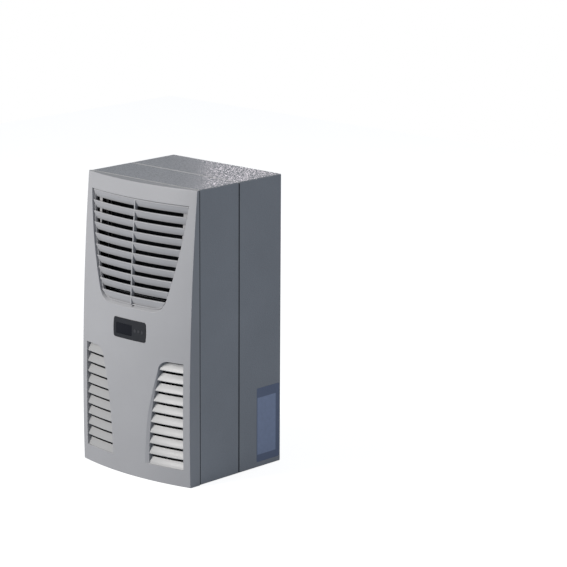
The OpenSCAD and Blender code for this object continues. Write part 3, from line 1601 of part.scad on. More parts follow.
rear_tray();
rear_gasket();
rivet_nuts();
foam_liner();
partition_plate();
base_plate();
pipe_grommets();
power_terminals();
inlet_sensor();
evaporator_fan_frame();
evaporator_fan_motor();
evaporator_fan_screws();
evaporator_fan_rotor();
evaporator_brackets();
evaporator_fins();
evaporator_tubes();
drip_tray();
condenser_brackets();
condenser_fins();
condenser_tubes();
fan_shroud();
condenser_fan_frame();
condenser_fan_motor();
condenser_fan_screws();
condenser_fan_rotor();
compressor();
compressor_grommets();
compressor_fixings();
terminal_cover();
suction_line();
discharge_line();
liquid_line();
filter_drier();
capillary_tube();
control_box();
control_box_cover();
control_board();
run_capacitor();
compressor_lead();
fan_lead();
rating_plate();
hood_shell();
hood_seal();
hood_screws();
front_fascia();
fascia_screws();
display_bezel();
display_window();
display_board();
key_set();
key_up();
key_down();
louvre_grille();
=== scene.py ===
import bpy
import bmesh
import json
import math
from mathutils import Vector, Matrix


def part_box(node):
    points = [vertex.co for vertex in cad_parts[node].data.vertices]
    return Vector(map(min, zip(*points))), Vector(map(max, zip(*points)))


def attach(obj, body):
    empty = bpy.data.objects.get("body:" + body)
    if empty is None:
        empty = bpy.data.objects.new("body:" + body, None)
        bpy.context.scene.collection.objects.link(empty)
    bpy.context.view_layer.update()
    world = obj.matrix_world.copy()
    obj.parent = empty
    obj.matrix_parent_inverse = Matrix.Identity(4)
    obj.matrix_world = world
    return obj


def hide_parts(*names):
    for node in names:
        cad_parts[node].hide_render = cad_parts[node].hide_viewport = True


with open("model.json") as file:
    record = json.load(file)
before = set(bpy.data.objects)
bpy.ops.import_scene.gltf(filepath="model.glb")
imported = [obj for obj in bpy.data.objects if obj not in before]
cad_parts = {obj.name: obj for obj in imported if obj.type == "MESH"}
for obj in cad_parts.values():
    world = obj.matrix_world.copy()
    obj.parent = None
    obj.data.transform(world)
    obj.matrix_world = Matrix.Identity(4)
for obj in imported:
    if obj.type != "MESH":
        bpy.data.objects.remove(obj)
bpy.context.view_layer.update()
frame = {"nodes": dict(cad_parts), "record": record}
nodes = frame["nodes"]
mm = 0.001
near = 0.01
ways = {"x": (1, 0, 0), "y": (0, 1, 0), "z": (0, 0, 1)}
casing = dict(width=280, height=550, rearY=128.3, hoodFront=214, seatGap=1.5, edgeTop=7, edgeMax=27.6, bellyZ=110,
              bow=18)
print("cooling unit: frame loaded,", len(nodes), "nodes")


def dropPicks():
    if bpy.context.object and bpy.context.object.mode != "OBJECT":
        bpy.ops.object.mode_set(mode="OBJECT")
    bpy.ops.object.select_all(action="DESELECT")


def takeUp(piece):
    dropPicks()
    piece.select_set(True)
    bpy.context.view_layer.objects.active = piece
    return piece


def pickAll(piece):
    takeUp(piece)
    bpy.ops.object.mode_set(mode="EDIT")
    bpy.ops.mesh.select_all(action="SELECT")


def pickParts(piece, kind, test):
    # selects the edges or faces of the piece that pass the test, and stays in edit mode
    takeUp(piece)
    bpy.ops.object.mode_set(mode="EDIT")
    bpy.ops.mesh.select_mode(type=kind)
    bpy.ops.mesh.select_all(action="DESELECT")
    mesh = bmesh.from_edit_mesh(piece.data)
    for part in {"EDGE": mesh.edges, "FACE": mesh.faces}[kind]:
        if test(part):
            part.select_set(True)
    mesh.select_flush_mode()
    bmesh.update_edit_mesh(piece.data)


def applyMod(piece, kind, **values):
    takeUp(piece)
    mod = piece.modifiers.new(kind.lower(), kind)
    for key, value in values.items():
        setattr(mod, key, value)
    bpy.ops.object.modifier_apply(modifier=mod.name)
    return piece


def addBlock(name, low, high):
    # a block between two corners, in millimetres of x, y and z
    dropPicks()
    middle = [(a + b) / 2 * mm for a, b in zip(low, high)]
    sides = [(b - a) * mm for a, b in zip(low, high)]
    bpy.ops.mesh.primitive_cube_add(size=1, location=middle, scale=sides)
    block = bpy.context.object
    block.name = name
    bpy.ops.object.transform_apply(location=True, rotation=True, scale=True)
    return block


def addPrism(name, outline, start, stop, across="y"):
    # the outline is drawn on the plane across the named axis, and then extruded along it
    dropPicks()
    bpy.ops.mesh.primitive_circle_add(vertices=len(outline), radius=1, fill_type="NGON")
    prism = bpy.context.object
    prism.name = name
    for vert, (a, b) in zip(prism.data.vertices, outline):
        spot = {"x": (start, a, b), "y": (a, start, b), "z": (a, b, start)}[across]
        vert.co = Vector(spot) * mm
    pickAll(prism)
    bpy.ops.mesh.extrude_region_move(TRANSFORM_OT_translate={"value": Vector(ways[across]) * (stop - start) * mm})
    bpy.ops.mesh.select_all(action="SELECT")
    bpy.ops.mesh.normals_make_consistent(inside=False)
    dropPicks()
    return prism


def addRod(name, middle, radius, length, along="y", sides=32):
    dropPicks()
    turn = {"x": (0, math.pi / 2, 0), "y": (math.pi / 2, 0, 0), "z": (0, 0, 0)}[along]
    bpy.ops.mesh.primitive_cylinder_add(vertices=sides, radius=radius * mm, depth=length * mm,
                                        location=Vector(middle) * mm, rotation=turn)
    rod = bpy.context.object
    rod.name = name
    bpy.ops.object.transform_apply(location=True, rotation=True, scale=True)
    return rod


def addSpun(name, profile, middle, steps):
    # a profile of (radius, height) spun round an upright line through the middle
    dropPicks()
    bpy.ops.mesh.primitive_circle_add(vertices=len(profile), radius=1, fill_type="NOTHING")
    spun = bpy.context.object
    spun.name = name
    for vert, (radius, height) in zip(spun.data.vertices, profile):
        vert.co = Vector((radius, 0, height)) * mm
    pickAll(spun)
    bpy.ops.mesh.spin(steps=steps, angle=2 * math.pi, center=(0, 0, 0), axis=(0, 0, 1))
    bpy.ops.mesh.select_all(action="SELECT")
    bpy.ops.mesh.remove_doubles(threshold=0.01 * mm)
    bpy.ops.mesh.normals_make_consistent(inside=False)
    dropPicks()
    spun.data.transform(Matrix.Translation(Vector(middle) * mm))
    return spun


def cutAway(piece, *cutters):
    for cutter in cutters:
        applyMod(piece, "BOOLEAN", operation="DIFFERENCE", solver="EXACT", object=cutter)
        bpy.data.objects.remove(cutter)
    return piece


def softenEdges(piece, width, segments=2, angle=35):
    return applyMod(piece, "BEVEL", width=width * mm, segments=segments, limit_method="ANGLE",
                    angle_limit=math.radians(angle), use_clamp_overlap=True)


def joinAll(name, parts):
    dropPicks()
    for part in parts:
        part.select_set(True)
    bpy.context.view_layer.objects.active = parts[0]
    bpy.ops.object.join()
    whole = bpy.context.object
    whole.name = name
    return whole


def flipPiece(piece):
    pickAll(piece)
    bpy.ops.mesh.flip_normals()
    dropPicks()


def sliceUp(piece, axis, start, stop, pitch):
    # cuts the mesh along evenly spaced planes, so that it can be bowed
    takeUp(piece)
    bpy.ops.object.mode_set(mode="EDIT")
    place = start
    while place < stop:
        bpy.ops.mesh.select_all(action="SELECT")
        spot = Vector(ways[axis]) * place * mm
        bpy.ops.mesh.bisect(plane_co=spot, plane_no=ways[axis], use_fill=False, clear_inner=False, clear_outer=False)
        place += pitch
    dropPicks()


def finishPiece(piece, finish, body, stands=(), smooth=32):
    piece.data.name = piece.name
    takeUp(piece)
    bpy.ops.object.transform_apply(location=True, rotation=True, scale=True)
    if smooth:
        bpy.ops.object.shade_smooth_by_angle(angle=math.radians(smooth))
        applyMod(piece, "WEIGHTED_NORMAL", keep_sharp=True, weight=60)
    piece.data.materials.clear()
    piece.data.materials.append(finish)
    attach(piece, body)
    if stands:
        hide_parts(*stands)
    dropPicks()
    return piece


def roundedCopy(nodeName, name, width, finish, body, segments=2, angle=35, fold=None, foldWidth=0,
                cutters=()):
    # the CAD solid again, with its folds rounded and its edges broken
    dropPicks()
    piece = nodes[nodeName].copy()
    piece.data = nodes[nodeName].data.copy()
    piece.parent = None
    piece.matrix_world = Matrix.Identity(4)
    bpy.context.collection.objects.link(piece)
    piece.name = name
    pickAll(piece)
    bpy.ops.mesh.remove_doubles(threshold=0.002 * mm)
    bpy.ops.mesh.dissolve_limited(angle_limit=math.radians(0.6))
    bpy.ops.object.mode_set(mode="OBJECT")
    bpy.ops.mesh.customdata_custom_splitnormals_clear()
    cutAway(piece, *cutters)
    if fold:
        pickParts(piece, "EDGE", lambda edge: all(fold(vert.co / mm) for vert in edge.verts))
        bpy.ops.mesh.bevel(offset=foldWidth * mm, segments=4, profile=0.5, affect="EDGES", clamp_overlap=True)
        dropPicks()
    softenEdges(piece, width, segments, angle)
    return finishPiece(piece, finish, body, stands=[nodeName], smooth=30)


def startFinish(name):
    finish = bpy.data.materials.new(name)
    finish.use_nodes = True
    tree = finish.node_tree
    place = tree.nodes.new("ShaderNodeTexCoord").outputs["Object"]
    return finish, tree, tree.nodes["Principled BSDF"], place


def addNoise(tree, place, scale, detail, stretch=None):
    noise = tree.nodes.new("ShaderNodeTexNoise")
    noise.inputs["Scale"].default_value = scale
    noise.inputs["Detail"].default_value = detail
    if stretch:
        mapping = tree.nodes.new("ShaderNodeMapping")
        mapping.inputs["Scale"].default_value = stretch
        tree.links.new(place, mapping.inputs["Vector"])
        place = mapping.outputs["Vector"]
    tree.links.new(place, noise.inputs["Vector"])
    return noise.outputs["Fac"]


def addCells(tree, place, scale):
    cells = tree.nodes.new("ShaderNodeTexVoronoi")
    cells.inputs["Scale"].default_value = scale
    tree.links.new(place, cells.inputs["Vector"])
    return cells


def spread(tree, value, low, high, start=0.35, stop=0.65):
    # maps a pattern to a range of numbers
    node = tree.nodes.new("ShaderNodeMapRange")
    node.inputs["From Min"].default_value = start
    node.inputs["From Max"].default_value = stop
    node.inputs["To Min"].default_value = low
    node.inputs["To Max"].default_value = high
    tree.links.new(value, node.inputs["Value"])
    return node.outputs["Result"]


def tint(tree, value, dark, light, start=0.3, stop=0.7):
    ramp = tree.nodes.new("ShaderNodeValToRGB")
    ramp.color_ramp.elements[0].position = start
    ramp.color_ramp.elements[1].position = stop
    ramp.color_ramp.elements[0].color = (*dark, 1)
    ramp.color_ramp.elements[1].color = (*light, 1)
    tree.links.new(value, ramp.inputs["Fac"])
    return ramp.outputs["Color"]


def addBump(tree, shader, height, strength, depth):
    bump = tree.nodes.new("ShaderNodeBump")
    bump.inputs["Strength"].default_value = strength
    bump.inputs["Distance"].default_value = depth * mm
    tree.links.new(height, bump.inputs["Height"])
    tree.links.new(bump.outputs["Normal"], shader.inputs["Normal"])


def addMix(tree, share, second):
    # the first colour goes into input 6
    mix = tree.nodes.new("ShaderNodeMix")
    mix.data_type = "RGBA"
    tree.links.new(share, mix.inputs[0])
    tree.links.new(second, mix.inputs[7])
    return mix


def splitPlace(tree, place):
    split = tree.nodes.new("ShaderNodeSeparateXYZ")
    tree.links.new(place, split.inputs["Vector"])
    return split.outputs


def colourRange(look):
    # the colour made darker and lighter by its drift
    return [[min(1, c * (1 + drift)) for c in look["colour"]] for drift in (-look["drift"], look["drift"])]


def grainedFinish(name, look):
    # a surface with a wandering colour, a grain that can be felt, and uneven gloss
    finish, tree, shader, place = startFinish(name)
    cloud = addNoise(tree, place, look["cloud"], 4, look.get("stretch"))
    tree.links.new(tint(tree, cloud, *colourRange(look)), shader.inputs["Base Color"])
    grain = addNoise(tree, place, look["grain"], 2, look.get("stretch"))
    rough = spread(tree, grain, look["rough"] - look["uneven"], look["rough"] + look["uneven"])
    tree.links.new(rough, shader.inputs["Roughness"])
    addBump(tree, shader, grain, look["bite"], look["depth"])
    shader.inputs["Metallic"].default_value = look.get("metal", 0)
    shader.inputs["Coat Weight"].default_value = look.get("coat", 0)
    shader.inputs["Coat Roughness"].default_value = look.get("coatRough", 0.15)
    return finish


def cellFinish(name, look):
    # foam: small cells with dark pits
    finish, tree, shader, place = startFinish(name)
    cells = addCells(tree, place, look["cells"])
    tree.links.new(tint(tree, cells.outputs["Distance"], look["colour"], look["pit"], 0.35, 0.75),
                   shader.inputs["Base Color"])
    shader.inputs["Roughness"].default_value = look["rough"]
    addBump(tree, shader, cells.outputs["Distance"], look["bite"], look["depth"])
    return finish


def spangleFinish(name, look):
    # galvanised sheet: frost-like crystals that differ in brightness and gloss
    finish, tree, shader, place = startFinish(name)
    cells = addCells(tree, place, look["cells"])
    gray = tree.nodes.new("ShaderNodeSeparateColor")
    tree.links.new(cells.outputs["Color"], gray.inputs["Color"])
    tree.links.new(tint(tree, gray.outputs["Red"], *colourRange(look), 0.1, 0.9), shader.inputs["Base Color"])
    tree.links.new(spread(tree, gray.outputs["Green"], look["smooth"], look["rough"], 0, 1),
                   shader.inputs["Roughness"])
    shader.inputs["Metallic"].default_value = look["metal"]
    addBump(tree, shader, addNoise(tree, place, look["grain"], 2), look["bite"], look["depth"])
    return finish


finishLooks = {
    "casingPaint": dict(colour=(0.475, 0.485, 0.505), drift=0.04, cloud=9, grain=560, rough=0.34, uneven=0.1,
                        bite=0.9, depth=0.5),
    "mouldedFront": dict(colour=(0.50, 0.50, 0.51), drift=0.03, cloud=7, grain=1500, rough=0.42, uneven=0.06,
                         bite=0.35, depth=0.12),
    "louvrePlastic": dict(colour=(0.51, 0.51, 0.505), drift=0.03, cloud=7, grain=1500, rough=0.34, uneven=0.06,
                          bite=0.35, depth=0.1),
    "zincPlate": dict(colour=(0.62, 0.61, 0.58), drift=0.12, cloud=160, grain=900, rough=0.36, uneven=0.1, bite=0.2,
                      depth=0.08, metal=1),
    "copperPipe": dict(colour=(0.66, 0.33, 0.19), drift=0.22, cloud=60, grain=500, rough=0.3, uneven=0.12, bite=0.15,
                       depth=0.08, metal=1),
    "bareFin": dict(colour=(0.70, 0.71, 0.73), drift=0.08, cloud=90, grain=700, rough=0.38, uneven=0.1, bite=0.2,
                    depth=0.06, metal=1),
    "coatedFin": dict(colour=(0.018, 0.02, 0.026), drift=0.3, cloud=70, grain=600, rough=0.5, uneven=0.12, bite=0.2,
                      depth=0.08),
    "fanPlastic": dict(colour=(0.022, 0.022, 0.024), drift=0.15, cloud=40, grain=1100, rough=0.42, uneven=0.08,
                       bite=0.2, depth=0.08),
    "blackRubber": dict(colour=(0.018, 0.018, 0.019), drift=0.25, cloud=110, grain=1400, rough=0.8, uneven=0.1,
                        bite=0.3, depth=0.1),
    "trayPlastic": dict(colour=(0.045, 0.047, 0.052), drift=0.12, cloud=30, grain=900, rough=0.5, uneven=0.1,
                        bite=0.25, depth=0.1),
    "shellPaint": dict(colour=(0.014, 0.014, 0.016), drift=0.2, cloud=50, grain=380, rough=0.3, uneven=0.1, bite=0.35,
                       depth=0.15, coat=0.4),
    "windingCopper": dict(colour=(0.45, 0.20, 0.09), drift=0.25, cloud=300, grain=1200, rough=0.4, uneven=0.1,
                          bite=0.5, depth=0.15, metal=0.8, stretch=(1, 1, 6)),
    "canAluminium": dict(colour=(0.66, 0.67, 0.69), drift=0.05, cloud=40, grain=500, rough=0.33, uneven=0.1,
                         bite=0.25, depth=0.06, metal=1, stretch=(1, 1, 0.05)),
    # a black coat that also serves as painted shade for parts seen through the front's gaps
    "blackSheetWithPaintedShade": dict(colour=(0.014, 0.015, 0.017), drift=0.2, cloud=70, grain=700, rough=0.5, uneven=0.1, bite=0.3,
                       depth=0.1),
    "leadJacket": dict(colour=(0.014, 0.014, 0.015), drift=0.2, cloud=140, grain=900, rough=0.6, uneven=0.1, bite=0.2,
                       depth=0.08),
    "bezelPlastic": dict(colour=(0.014, 0.015, 0.019), drift=0.12, cloud=60, grain=1500, rough=0.45, uneven=0.08,
                         bite=0.3, depth=0.08),
    "keyPlastic": dict(colour=(0.045, 0.046, 0.052), drift=0.12, cloud=120, grain=1600, rough=0.5, uneven=0.08,
                       bite=0.25, depth=0.06),
    "terminalPlastic": dict(colour=(0.04, 0.20, 0.11), drift=0.15, cloud=80, grain=1300, rough=0.4, uneven=0.08,
                            bite=0.2, depth=0.06),
}
finishes = {name: grainedFinish(name, look) for name, look in finishLooks.items()}
finishes["blackFoam"] = cellFinish("blackFoam", dict(colour=(0.022, 0.022, 0.024), pit=(0.008, 0.008, 0.009),
                                                     cells=900, rough=0.95, bite=0.6, depth=0.4))
finishes["paleFoam"] = cellFinish("paleFoam", dict(colour=(0.62, 0.63, 0.64), pit=(0.40, 0.41, 0.43), cells=700,
                                                   rough=0.95, bite=0.5, depth=0.4))
finishes["galvanised"] = spangleFinish("galvanised", dict(colour=(0.50, 0.51, 0.53), drift=0.18, cells=110,
                                                          smooth=0.28, rough=0.5, metal=0.85, grain=900, bite=0.12,
                                                          depth=0.15))
screenLook = dict(dark=(0.003, 0.003, 0.006), light=(0.006, 0.006, 0.010), smear=45, smooth=0.08, rough=0.16,
                  shine=0.3)


def screenFinish():
    finish, tree, shader, place = startFinish("darkScreen")
    smear = addNoise(tree, place, screenLook["smear"], 3)
    tree.links.new(tint(tree, smear, screenLook["dark"], screenLook["light"]), shader.inputs["Base Color"])
    tree.links.new(spread(tree, smear, screenLook["smooth"], screenLook["rough"]), shader.inputs["Roughness"])
    shader.inputs["Specular IOR Level"].default_value = screenLook["shine"]
    return finish


boardLook = dict(scale=260, mask=(0.018, 0.13, 0.055), paleMask=(0.022, 0.16, 0.065), run=(0.04, 0.26, 0.11),
                 runWidth=0.035, rough=0.3, bite=0.3, depth=0.05)


def boardFinish():
    # solder mask with paler conductor runs under it
    finish, tree, shader, place = startFinish("circuitBoard")
    runs = tree.nodes.new("ShaderNodeTexBrick")
    runs.inputs["Scale"].default_value = boardLook["scale"]
    runs.inputs["Color1"].default_value = (*boardLook["mask"], 1)
    runs.inputs["Color2"].default_value = (*boardLook["paleMask"], 1)
    runs.inputs["Mortar"].default_value = (*boardLook["run"], 1)
    runs.inputs["Mortar Size"].default_value = boardLook["runWidth"]
    turn = tree.nodes.new("ShaderNodeMapping")
    turn.inputs["Rotation"].default_value = (math.pi / 2, 0, 0)
    tree.links.new(place, turn.inputs["Vector"])
    tree.links.new(turn.outputs["Vector"], runs.inputs["Vector"])
    tree.links.new(runs.outputs["Color"], shader.inputs["Base Color"])
    shader.inputs["Roughness"].default_value = boardLook["rough"]
    addBump(tree, shader, runs.outputs["Fac"], boardLook["bite"], boardLook["depth"])
    return finish


label = dict(x=139.7, thick=0.25, rearGap=2.2, width=61.6, foot=10.2, height=142.6, corner=2.5,
             paper=(0.48, 0.55, 0.75), band=(0.26, 0.30, 0.42), bandFoot=14.1, bandHead=18.39, bandFront=1.8,
             bandRear=9.72, blur=0.6, wear=120, fade=0.92, rough=0.32)


def labelFinish():
    # bare film: a pale field between darker bands along its edges
    finish, tree, shader, place = startFinish("labelFilm")
    along = splitPlace(tree, place)
    rear = casing["rearY"] - label["rearGap"]
    masks = []
    for axis, low, high in (("Z", label["foot"] + label["bandFoot"],
                             label["foot"] + label["height"] - label["bandHead"]),
                            ("Y", rear - label["width"] + label["bandFront"], rear - label["bandRear"])):
        for edge, blur in ((low, label["blur"]), (high, -label["blur"])):
            masks.append(spread(tree, along[axis], 0, 1, (edge - blur) * mm, (edge + blur) * mm))
    field = masks[0]
    for mask in masks[1:]:
        both = tree.nodes.new("ShaderNodeMath")
        both.operation = "MULTIPLY"
        tree.links.new(field, both.inputs[0])
        tree.links.new(mask, both.inputs[1])
        field = both.outputs["Value"]
    wear = addNoise(tree, place, label["wear"], 3)
    mix = addMix(tree, field, tint(tree, wear, [c * label["fade"] for c in label["paper"]], label["paper"]))
    mix.inputs[6].default_value = (*label["band"], 1)
    tree.links.new(mix.outputs[2], shader.inputs["Base Color"])
    shader.inputs["Roughness"].default_value = label["rough"]
    addBump(tree, shader, wear, 0.1, 0.05)
    return finish


sparkle = dict(size=265, start=0.56, stop=0.6, coat=0.6, rough=0.145, base=0.05)
# painted light at the casing's seam: black is painted shade in the seam and on the hood's front face, pale is a
# painted highlight along the top
seam = dict(black=(0.012, 0.012, 0.014), pale=(0.8, 0.79, 0.75), wall=2, blur=0.1, hoodFace=0.15, hoodBlur=0.05,
            trayLip=12)


def casingPaintWithPaintedLight(name, node, edge, blur):
    # the casing's paint; what lies in front of the edge carries painted shade, black, and a painted highlight, pale,
    # at the top
    finish = grainedFinish(name, finishLooks["casingPaint"])
    tree = finish.node_tree
    shader = tree.nodes["Principled BSDF"]
    place = tree.nodes["Texture Coordinate"].outputs["Object"]
    # the paint's clear top layer shows in small patches, which break a highlight into points
    patches = addNoise(tree, place, sparkle["size"], 1)
    tree.links.new(spread(tree, patches, 0, sparkle["coat"], sparkle["start"], sparkle["stop"]),
                   shader.inputs["Coat Weight"])
    shader.inputs["Coat Roughness"].default_value = sparkle["rough"]
    shader.inputs["Specular IOR Level"].default_value = sparkle["base"]
    paint = shader.inputs["Base Color"].links[0].from_socket
    along = splitPlace(tree, place)
    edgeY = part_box(node)[0].y + edge * mm
    topZ = (casing["height"] - seam["wall"]) * mm
    # painted shade in front of the edge, turning into a painted highlight above the given height
    mix = addMix(tree, spread(tree, along["Y"], 0, 1, edgeY - blur * mm, edgeY + blur * mm), paint)
    atTop = spread(tree, along["Z"], 0, 1, topZ - seam["blur"] * mm, topZ + seam["blur"] * mm)
    tree.links.new(tint(tree, atTop, seam["black"], seam["pale"], 0.4, 0.6), mix.inputs[6])
    tree.links.new(mix.outputs[2], shader.inputs["Base Color"])
    return finish


# the hood's front face behind the moulding gets the painted shade; the tray's lip gets it in the seam, with the
# painted highlight along the top
finishes["hoodPaintWithPaintedLight"] = casingPaintWithPaintedLight("hoodPaintWithPaintedLight", "hood_shell", seam["hoodFace"], seam["hoodBlur"])
finishes["trayPaintWithPaintedLight"] = casingPaintWithPaintedLight("trayPaintWithPaintedLight", "rear_tray", seam["trayLip"], seam["blur"])
finishes["darkScreen"] = screenFinish()
finishes["circuitBoard"] = boardFinish()
finishes["labelFilm"] = labelFinish()
print("finishes:", len(finishes))

# the finish that each CAD node gets where it stays visible
nodeFinish = {
    "casing_paint": "casingPaint", "foam_black": "blackFoam", "zinc": "zincPlate", "foam_light": "paleFoam",
    "galvanised": "galvanised", "rubber_black": "blackRubber", "terminal_green": "terminalPlastic",
    "fan_black": "fanPlastic", "motor": "windingCopper", "fin_aluminium": "bareFin", "copper": "copperPipe",
    "tray_plastic": "trayPlastic", "compressor_black": "shellPaint", "circuit_board": "circuitBoard",
    "capacitor_can": "canAluminium", "lead_black": "leadJacket", "label_blue": "labelFilm",
    "fascia_plastic": "mouldedFront", "bezel_plastic": "bezelPlastic", "screen": "darkScreen",
    "key_plastic": "keyPlastic",
}
for part in frame["record"]["subparts"]:
    for spot in nodes[part["node"]].material_slots:
        spot.material = finishes[nodeFinish[part["material_slot"]]]
groups = frame["record"]["behaviour"]["bodies"]
bodyOf = {node: body for body, held in groups.items() for node in held}


frontTip = casing["rearY"] - casing["hoodFront"] - casing["edgeMax"] - casing["bow"]
planRadius = ((casing["width"] / 2) ** 2 + casing["bow"] ** 2) / (2 * casing["bow"])
turnY = frontTip + planRadius
leanShare = (casing["edgeMax"] - casing["edgeTop"]) / (casing["height"] - casing["bellyZ"]) ** 2


def frontY(x, z):
    radius = planRadius - leanShare * (z - casing["bellyZ"]) ** 2
    return turnY - math.sqrt(radius * radius - x * x)


def bowPiece(piece, flatBack=None):
    # moves a piece that was modelled flat, with its depth along y, onto the bowed front
    for vert in piece.data.vertices:
        x, depth, z = [c / mm for c in vert.co]
        if flatBack and flatBack(x, depth, z):
            vert.co.y = (casing["rearY"] - casing["hoodFront"] - casing["seatGap"]) * mm
        else:
            vert.co.y = (frontY(x, min(max(z, 0), casing["height"])) + depth) * mm
    piece.data.update()


bowing = dict(reach=120, pitch=12)


def bowWide(piece):
    # a piece that spans the front is cut across its width first
    sliceUp(piece, "x", -bowing["reach"], bowing["reach"] + 1, bowing["pitch"])
    bowPiece(piece)


window = dict(top=519.5, height=197.5, topWidth=248, footWidth=156, slope=0.1, corner=32, recess=2, rimRound=0.6,
              rimDepth=12.8, sideFlare=0.6, footFlare=4.0, footShare=0.8, flarePower=1.5, flareDepth=6.5, notchX=1.4,
              notchWidth=5, notchHeight=2, notchRise=3)
windowFoot = window["top"] - window["height"]
windowNarrowing = (window["topWidth"] - window["footWidth"]) / 2 - window["slope"] * window["height"]
windowBend = windowNarrowing / window["height"] ** 2


def windowHalf(z):
    drop = window["top"] - z
    return window["topWidth"] / 2 - window["slope"] * drop - windowBend * drop * drop


def windowTilt(z):
    return math.atan(window["slope"] + 2 * windowBend * (window["top"] - z))


def windowOutline(inset, sideSteps=22, cornerSteps=10):
    # the side ends where the round of the corner, tilted as the side is there, begins
    tilt = windowTilt(windowFoot + 0.65 * window["corner"])
    cornerZ = windowFoot + window["corner"]
    sideZ = cornerZ - window["corner"] * math.sin(tilt)
    cornerX = windowHalf(sideZ) - window["corner"] * math.cos(tilt)
    side = [(windowHalf(window["top"]) - inset, window["top"] - inset)]
    for i in range(1, sideSteps + 1):
        z = window["top"] + (sideZ - window["top"]) * i / sideSteps
        side.append((windowHalf(z) - inset * math.cos(windowTilt(z)), z + inset * math.sin(windowTilt(z))))
    for i in range(1, cornerSteps + 1):
        a = tilt + (math.pi / 2 - tilt) * i / cornerSteps
        side.append((cornerX + (window["corner"] - inset) * math.cos(a),
                     cornerZ - (window["corner"] - inset) * math.sin(a)))
    return side + [(-x, z) for x, z in reversed(side)]


pocket = dict(outer=125.5, foot=31.8, top=231, footX=48, spread=29.7, corner=20, rimRound=0.5, depth=13.5,
              rimFlare=0.4, innerFlare=7.5, outerZone=20, footZone=8, footShare=0.12, flareDepth=2.5, count=10,
              pitch=20.3, firstDrop=16.5, rise=12.8, slatDepth=6.5, setBack=2.5, crown=0.5, lip=1.5, headGap=3.5,
              noseRound=0.6, sideReach=0.6)


def pocketCurve(z):
    return pocket["footX"] + pocket["spread"] * ((z - pocket["foot"]) / (pocket["top"] - pocket["foot"])) ** 2


def pocketInner(z):
    bendZ = pocket["top"] - pocket["corner"]
    if z <= bendZ:
        return pocketCurve(z)
    bendX = pocketCurve(bendZ) + pocket["corner"]
    return bendX - math.sqrt(max(pocket["corner"] ** 2 - (z - bendZ) ** 2, 0))


def pocketOutline(inset, side, cornerSteps=10, sideSteps=16):
    top, corner = pocket["top"], pocket["corner"]
    points = [(pocket["outer"] - inset, pocket["foot"] + inset), (pocket["outer"] - inset, top - inset)]
    bendZ = top - corner
    bendX = pocketInner(bendZ) + corner
    for i in range(cornerSteps + 1):
        a = math.pi / 2 + math.pi / 2 * i / cornerSteps
        points.append((bendX + (corner - inset) * math.cos(a), bendZ + (corner - inset) * math.sin(a)))
    for i in range(1, sideSteps + 1):
        z = bendZ + (pocket["foot"] + inset - bendZ) * i / sideSteps
        points.append((pocketInner(z) + inset, z))
    return [(side * x, z) for x, z in points]


display = dict(z=277, width=84, height=37, bulge=1.5, corner=4.5, proud=0.8, screenX=-33.5, screenWidth=41,
               screenHeight=20, screenDrop=1, screenPlay=0.1, screenFront=0.4, back=3, play=0.2, rimRound=0.7,
               collar=3.2, keyX=15.5, keyPitch=8.6, keyHole=3.35)


def bezelOutline(inset, steps=6):
    def half(z):
        return display["width"] / 2 - display["bulge"] * (2 * z / display["height"]) ** 2
    r, z = display["corner"], display["height"] / 2 - display["corner"]
    x = half(z) - r
    side = [(x + (r - inset) * math.cos(a), z + (r - inset) * math.sin(a))
            for a in [math.pi / 2 * (1 - i / steps) for i in range(steps + 1)]]
    side += [(half(h * z) - inset, h * z) for h in (0.5, 0, -0.5)]
    side += [(x + (r - inset) * math.cos(a), -z + (r - inset) * math.sin(a))
             for a in [-math.pi / 2 * i / steps for i in range(steps + 1)]]
    outline = side + [(-x, z) for x, z in reversed(side)]
    return [(x, z + display["z"]) for x, z in outline]


moulding = dict(wall=2.0, edgeRound=1.3, cell=8, slab=20, windowZone=6, displayZone=250)
through = dict(front=-10, back=40)


def flaredCut(outline, flare, depth):
    # a cutter whose mouth widens toward the front; flare gives the widening in x and z at each point
    rim, inner = outline(0), outline(1)
    cutter = addPrism("cut", rim, through["front"], depth)
    past, grow = 0.3, (depth - through["front"]) / depth
    for vert in cutter.data.vertices:
        x, z = vert.co.x / mm, vert.co.z / mm
        nearest = min(range(len(rim)), key=lambda i: (rim[i][0] - x) ** 2 + (rim[i][1] - z) ** 2)
        wayX, wayZ = inner[nearest][0] - rim[nearest][0], inner[nearest][1] - rim[nearest][1]
        if vert.co.y > 0:
            stepX = stepZ = past
        else:
            stepX, stepZ = [past - (wide + past) * grow for wide in flare(*rim[nearest])]
        vert.co.x += wayX * stepX * mm
        vert.co.z += wayZ * stepZ * mm
    return cutter


def windowFlare(x, z):
    # slight at the sides, wide and slanted along the foot
    reach = window["footShare"] * window["corner"]
    share = min(max((windowFoot + reach - z) / reach, 0), 1)
    wide = window["sideFlare"] + (window["footFlare"] - window["sideFlare"]) * share ** window["flarePower"]
    return wide, wide


def pocketFlare(x, z):
    # the slanted inner rim carries a chamfer that widens toward the foot
    drop = min(max((pocket["top"] - z) / (pocket["top"] - pocket["foot"]), 0), 1)
    wide = pocket["rimFlare"]
    if abs(x) < pocket["outer"] - pocket["outerZone"]:
        wide += (pocket["innerFlare"] - wide) * min(1, 2 * drop) * (0.7 + 0.3 * drop)
    share = pocket["footShare"] if z < pocket["foot"] + pocket["footZone"] else 1
    return wide, pocket["rimFlare"] + (wide - pocket["rimFlare"]) * share


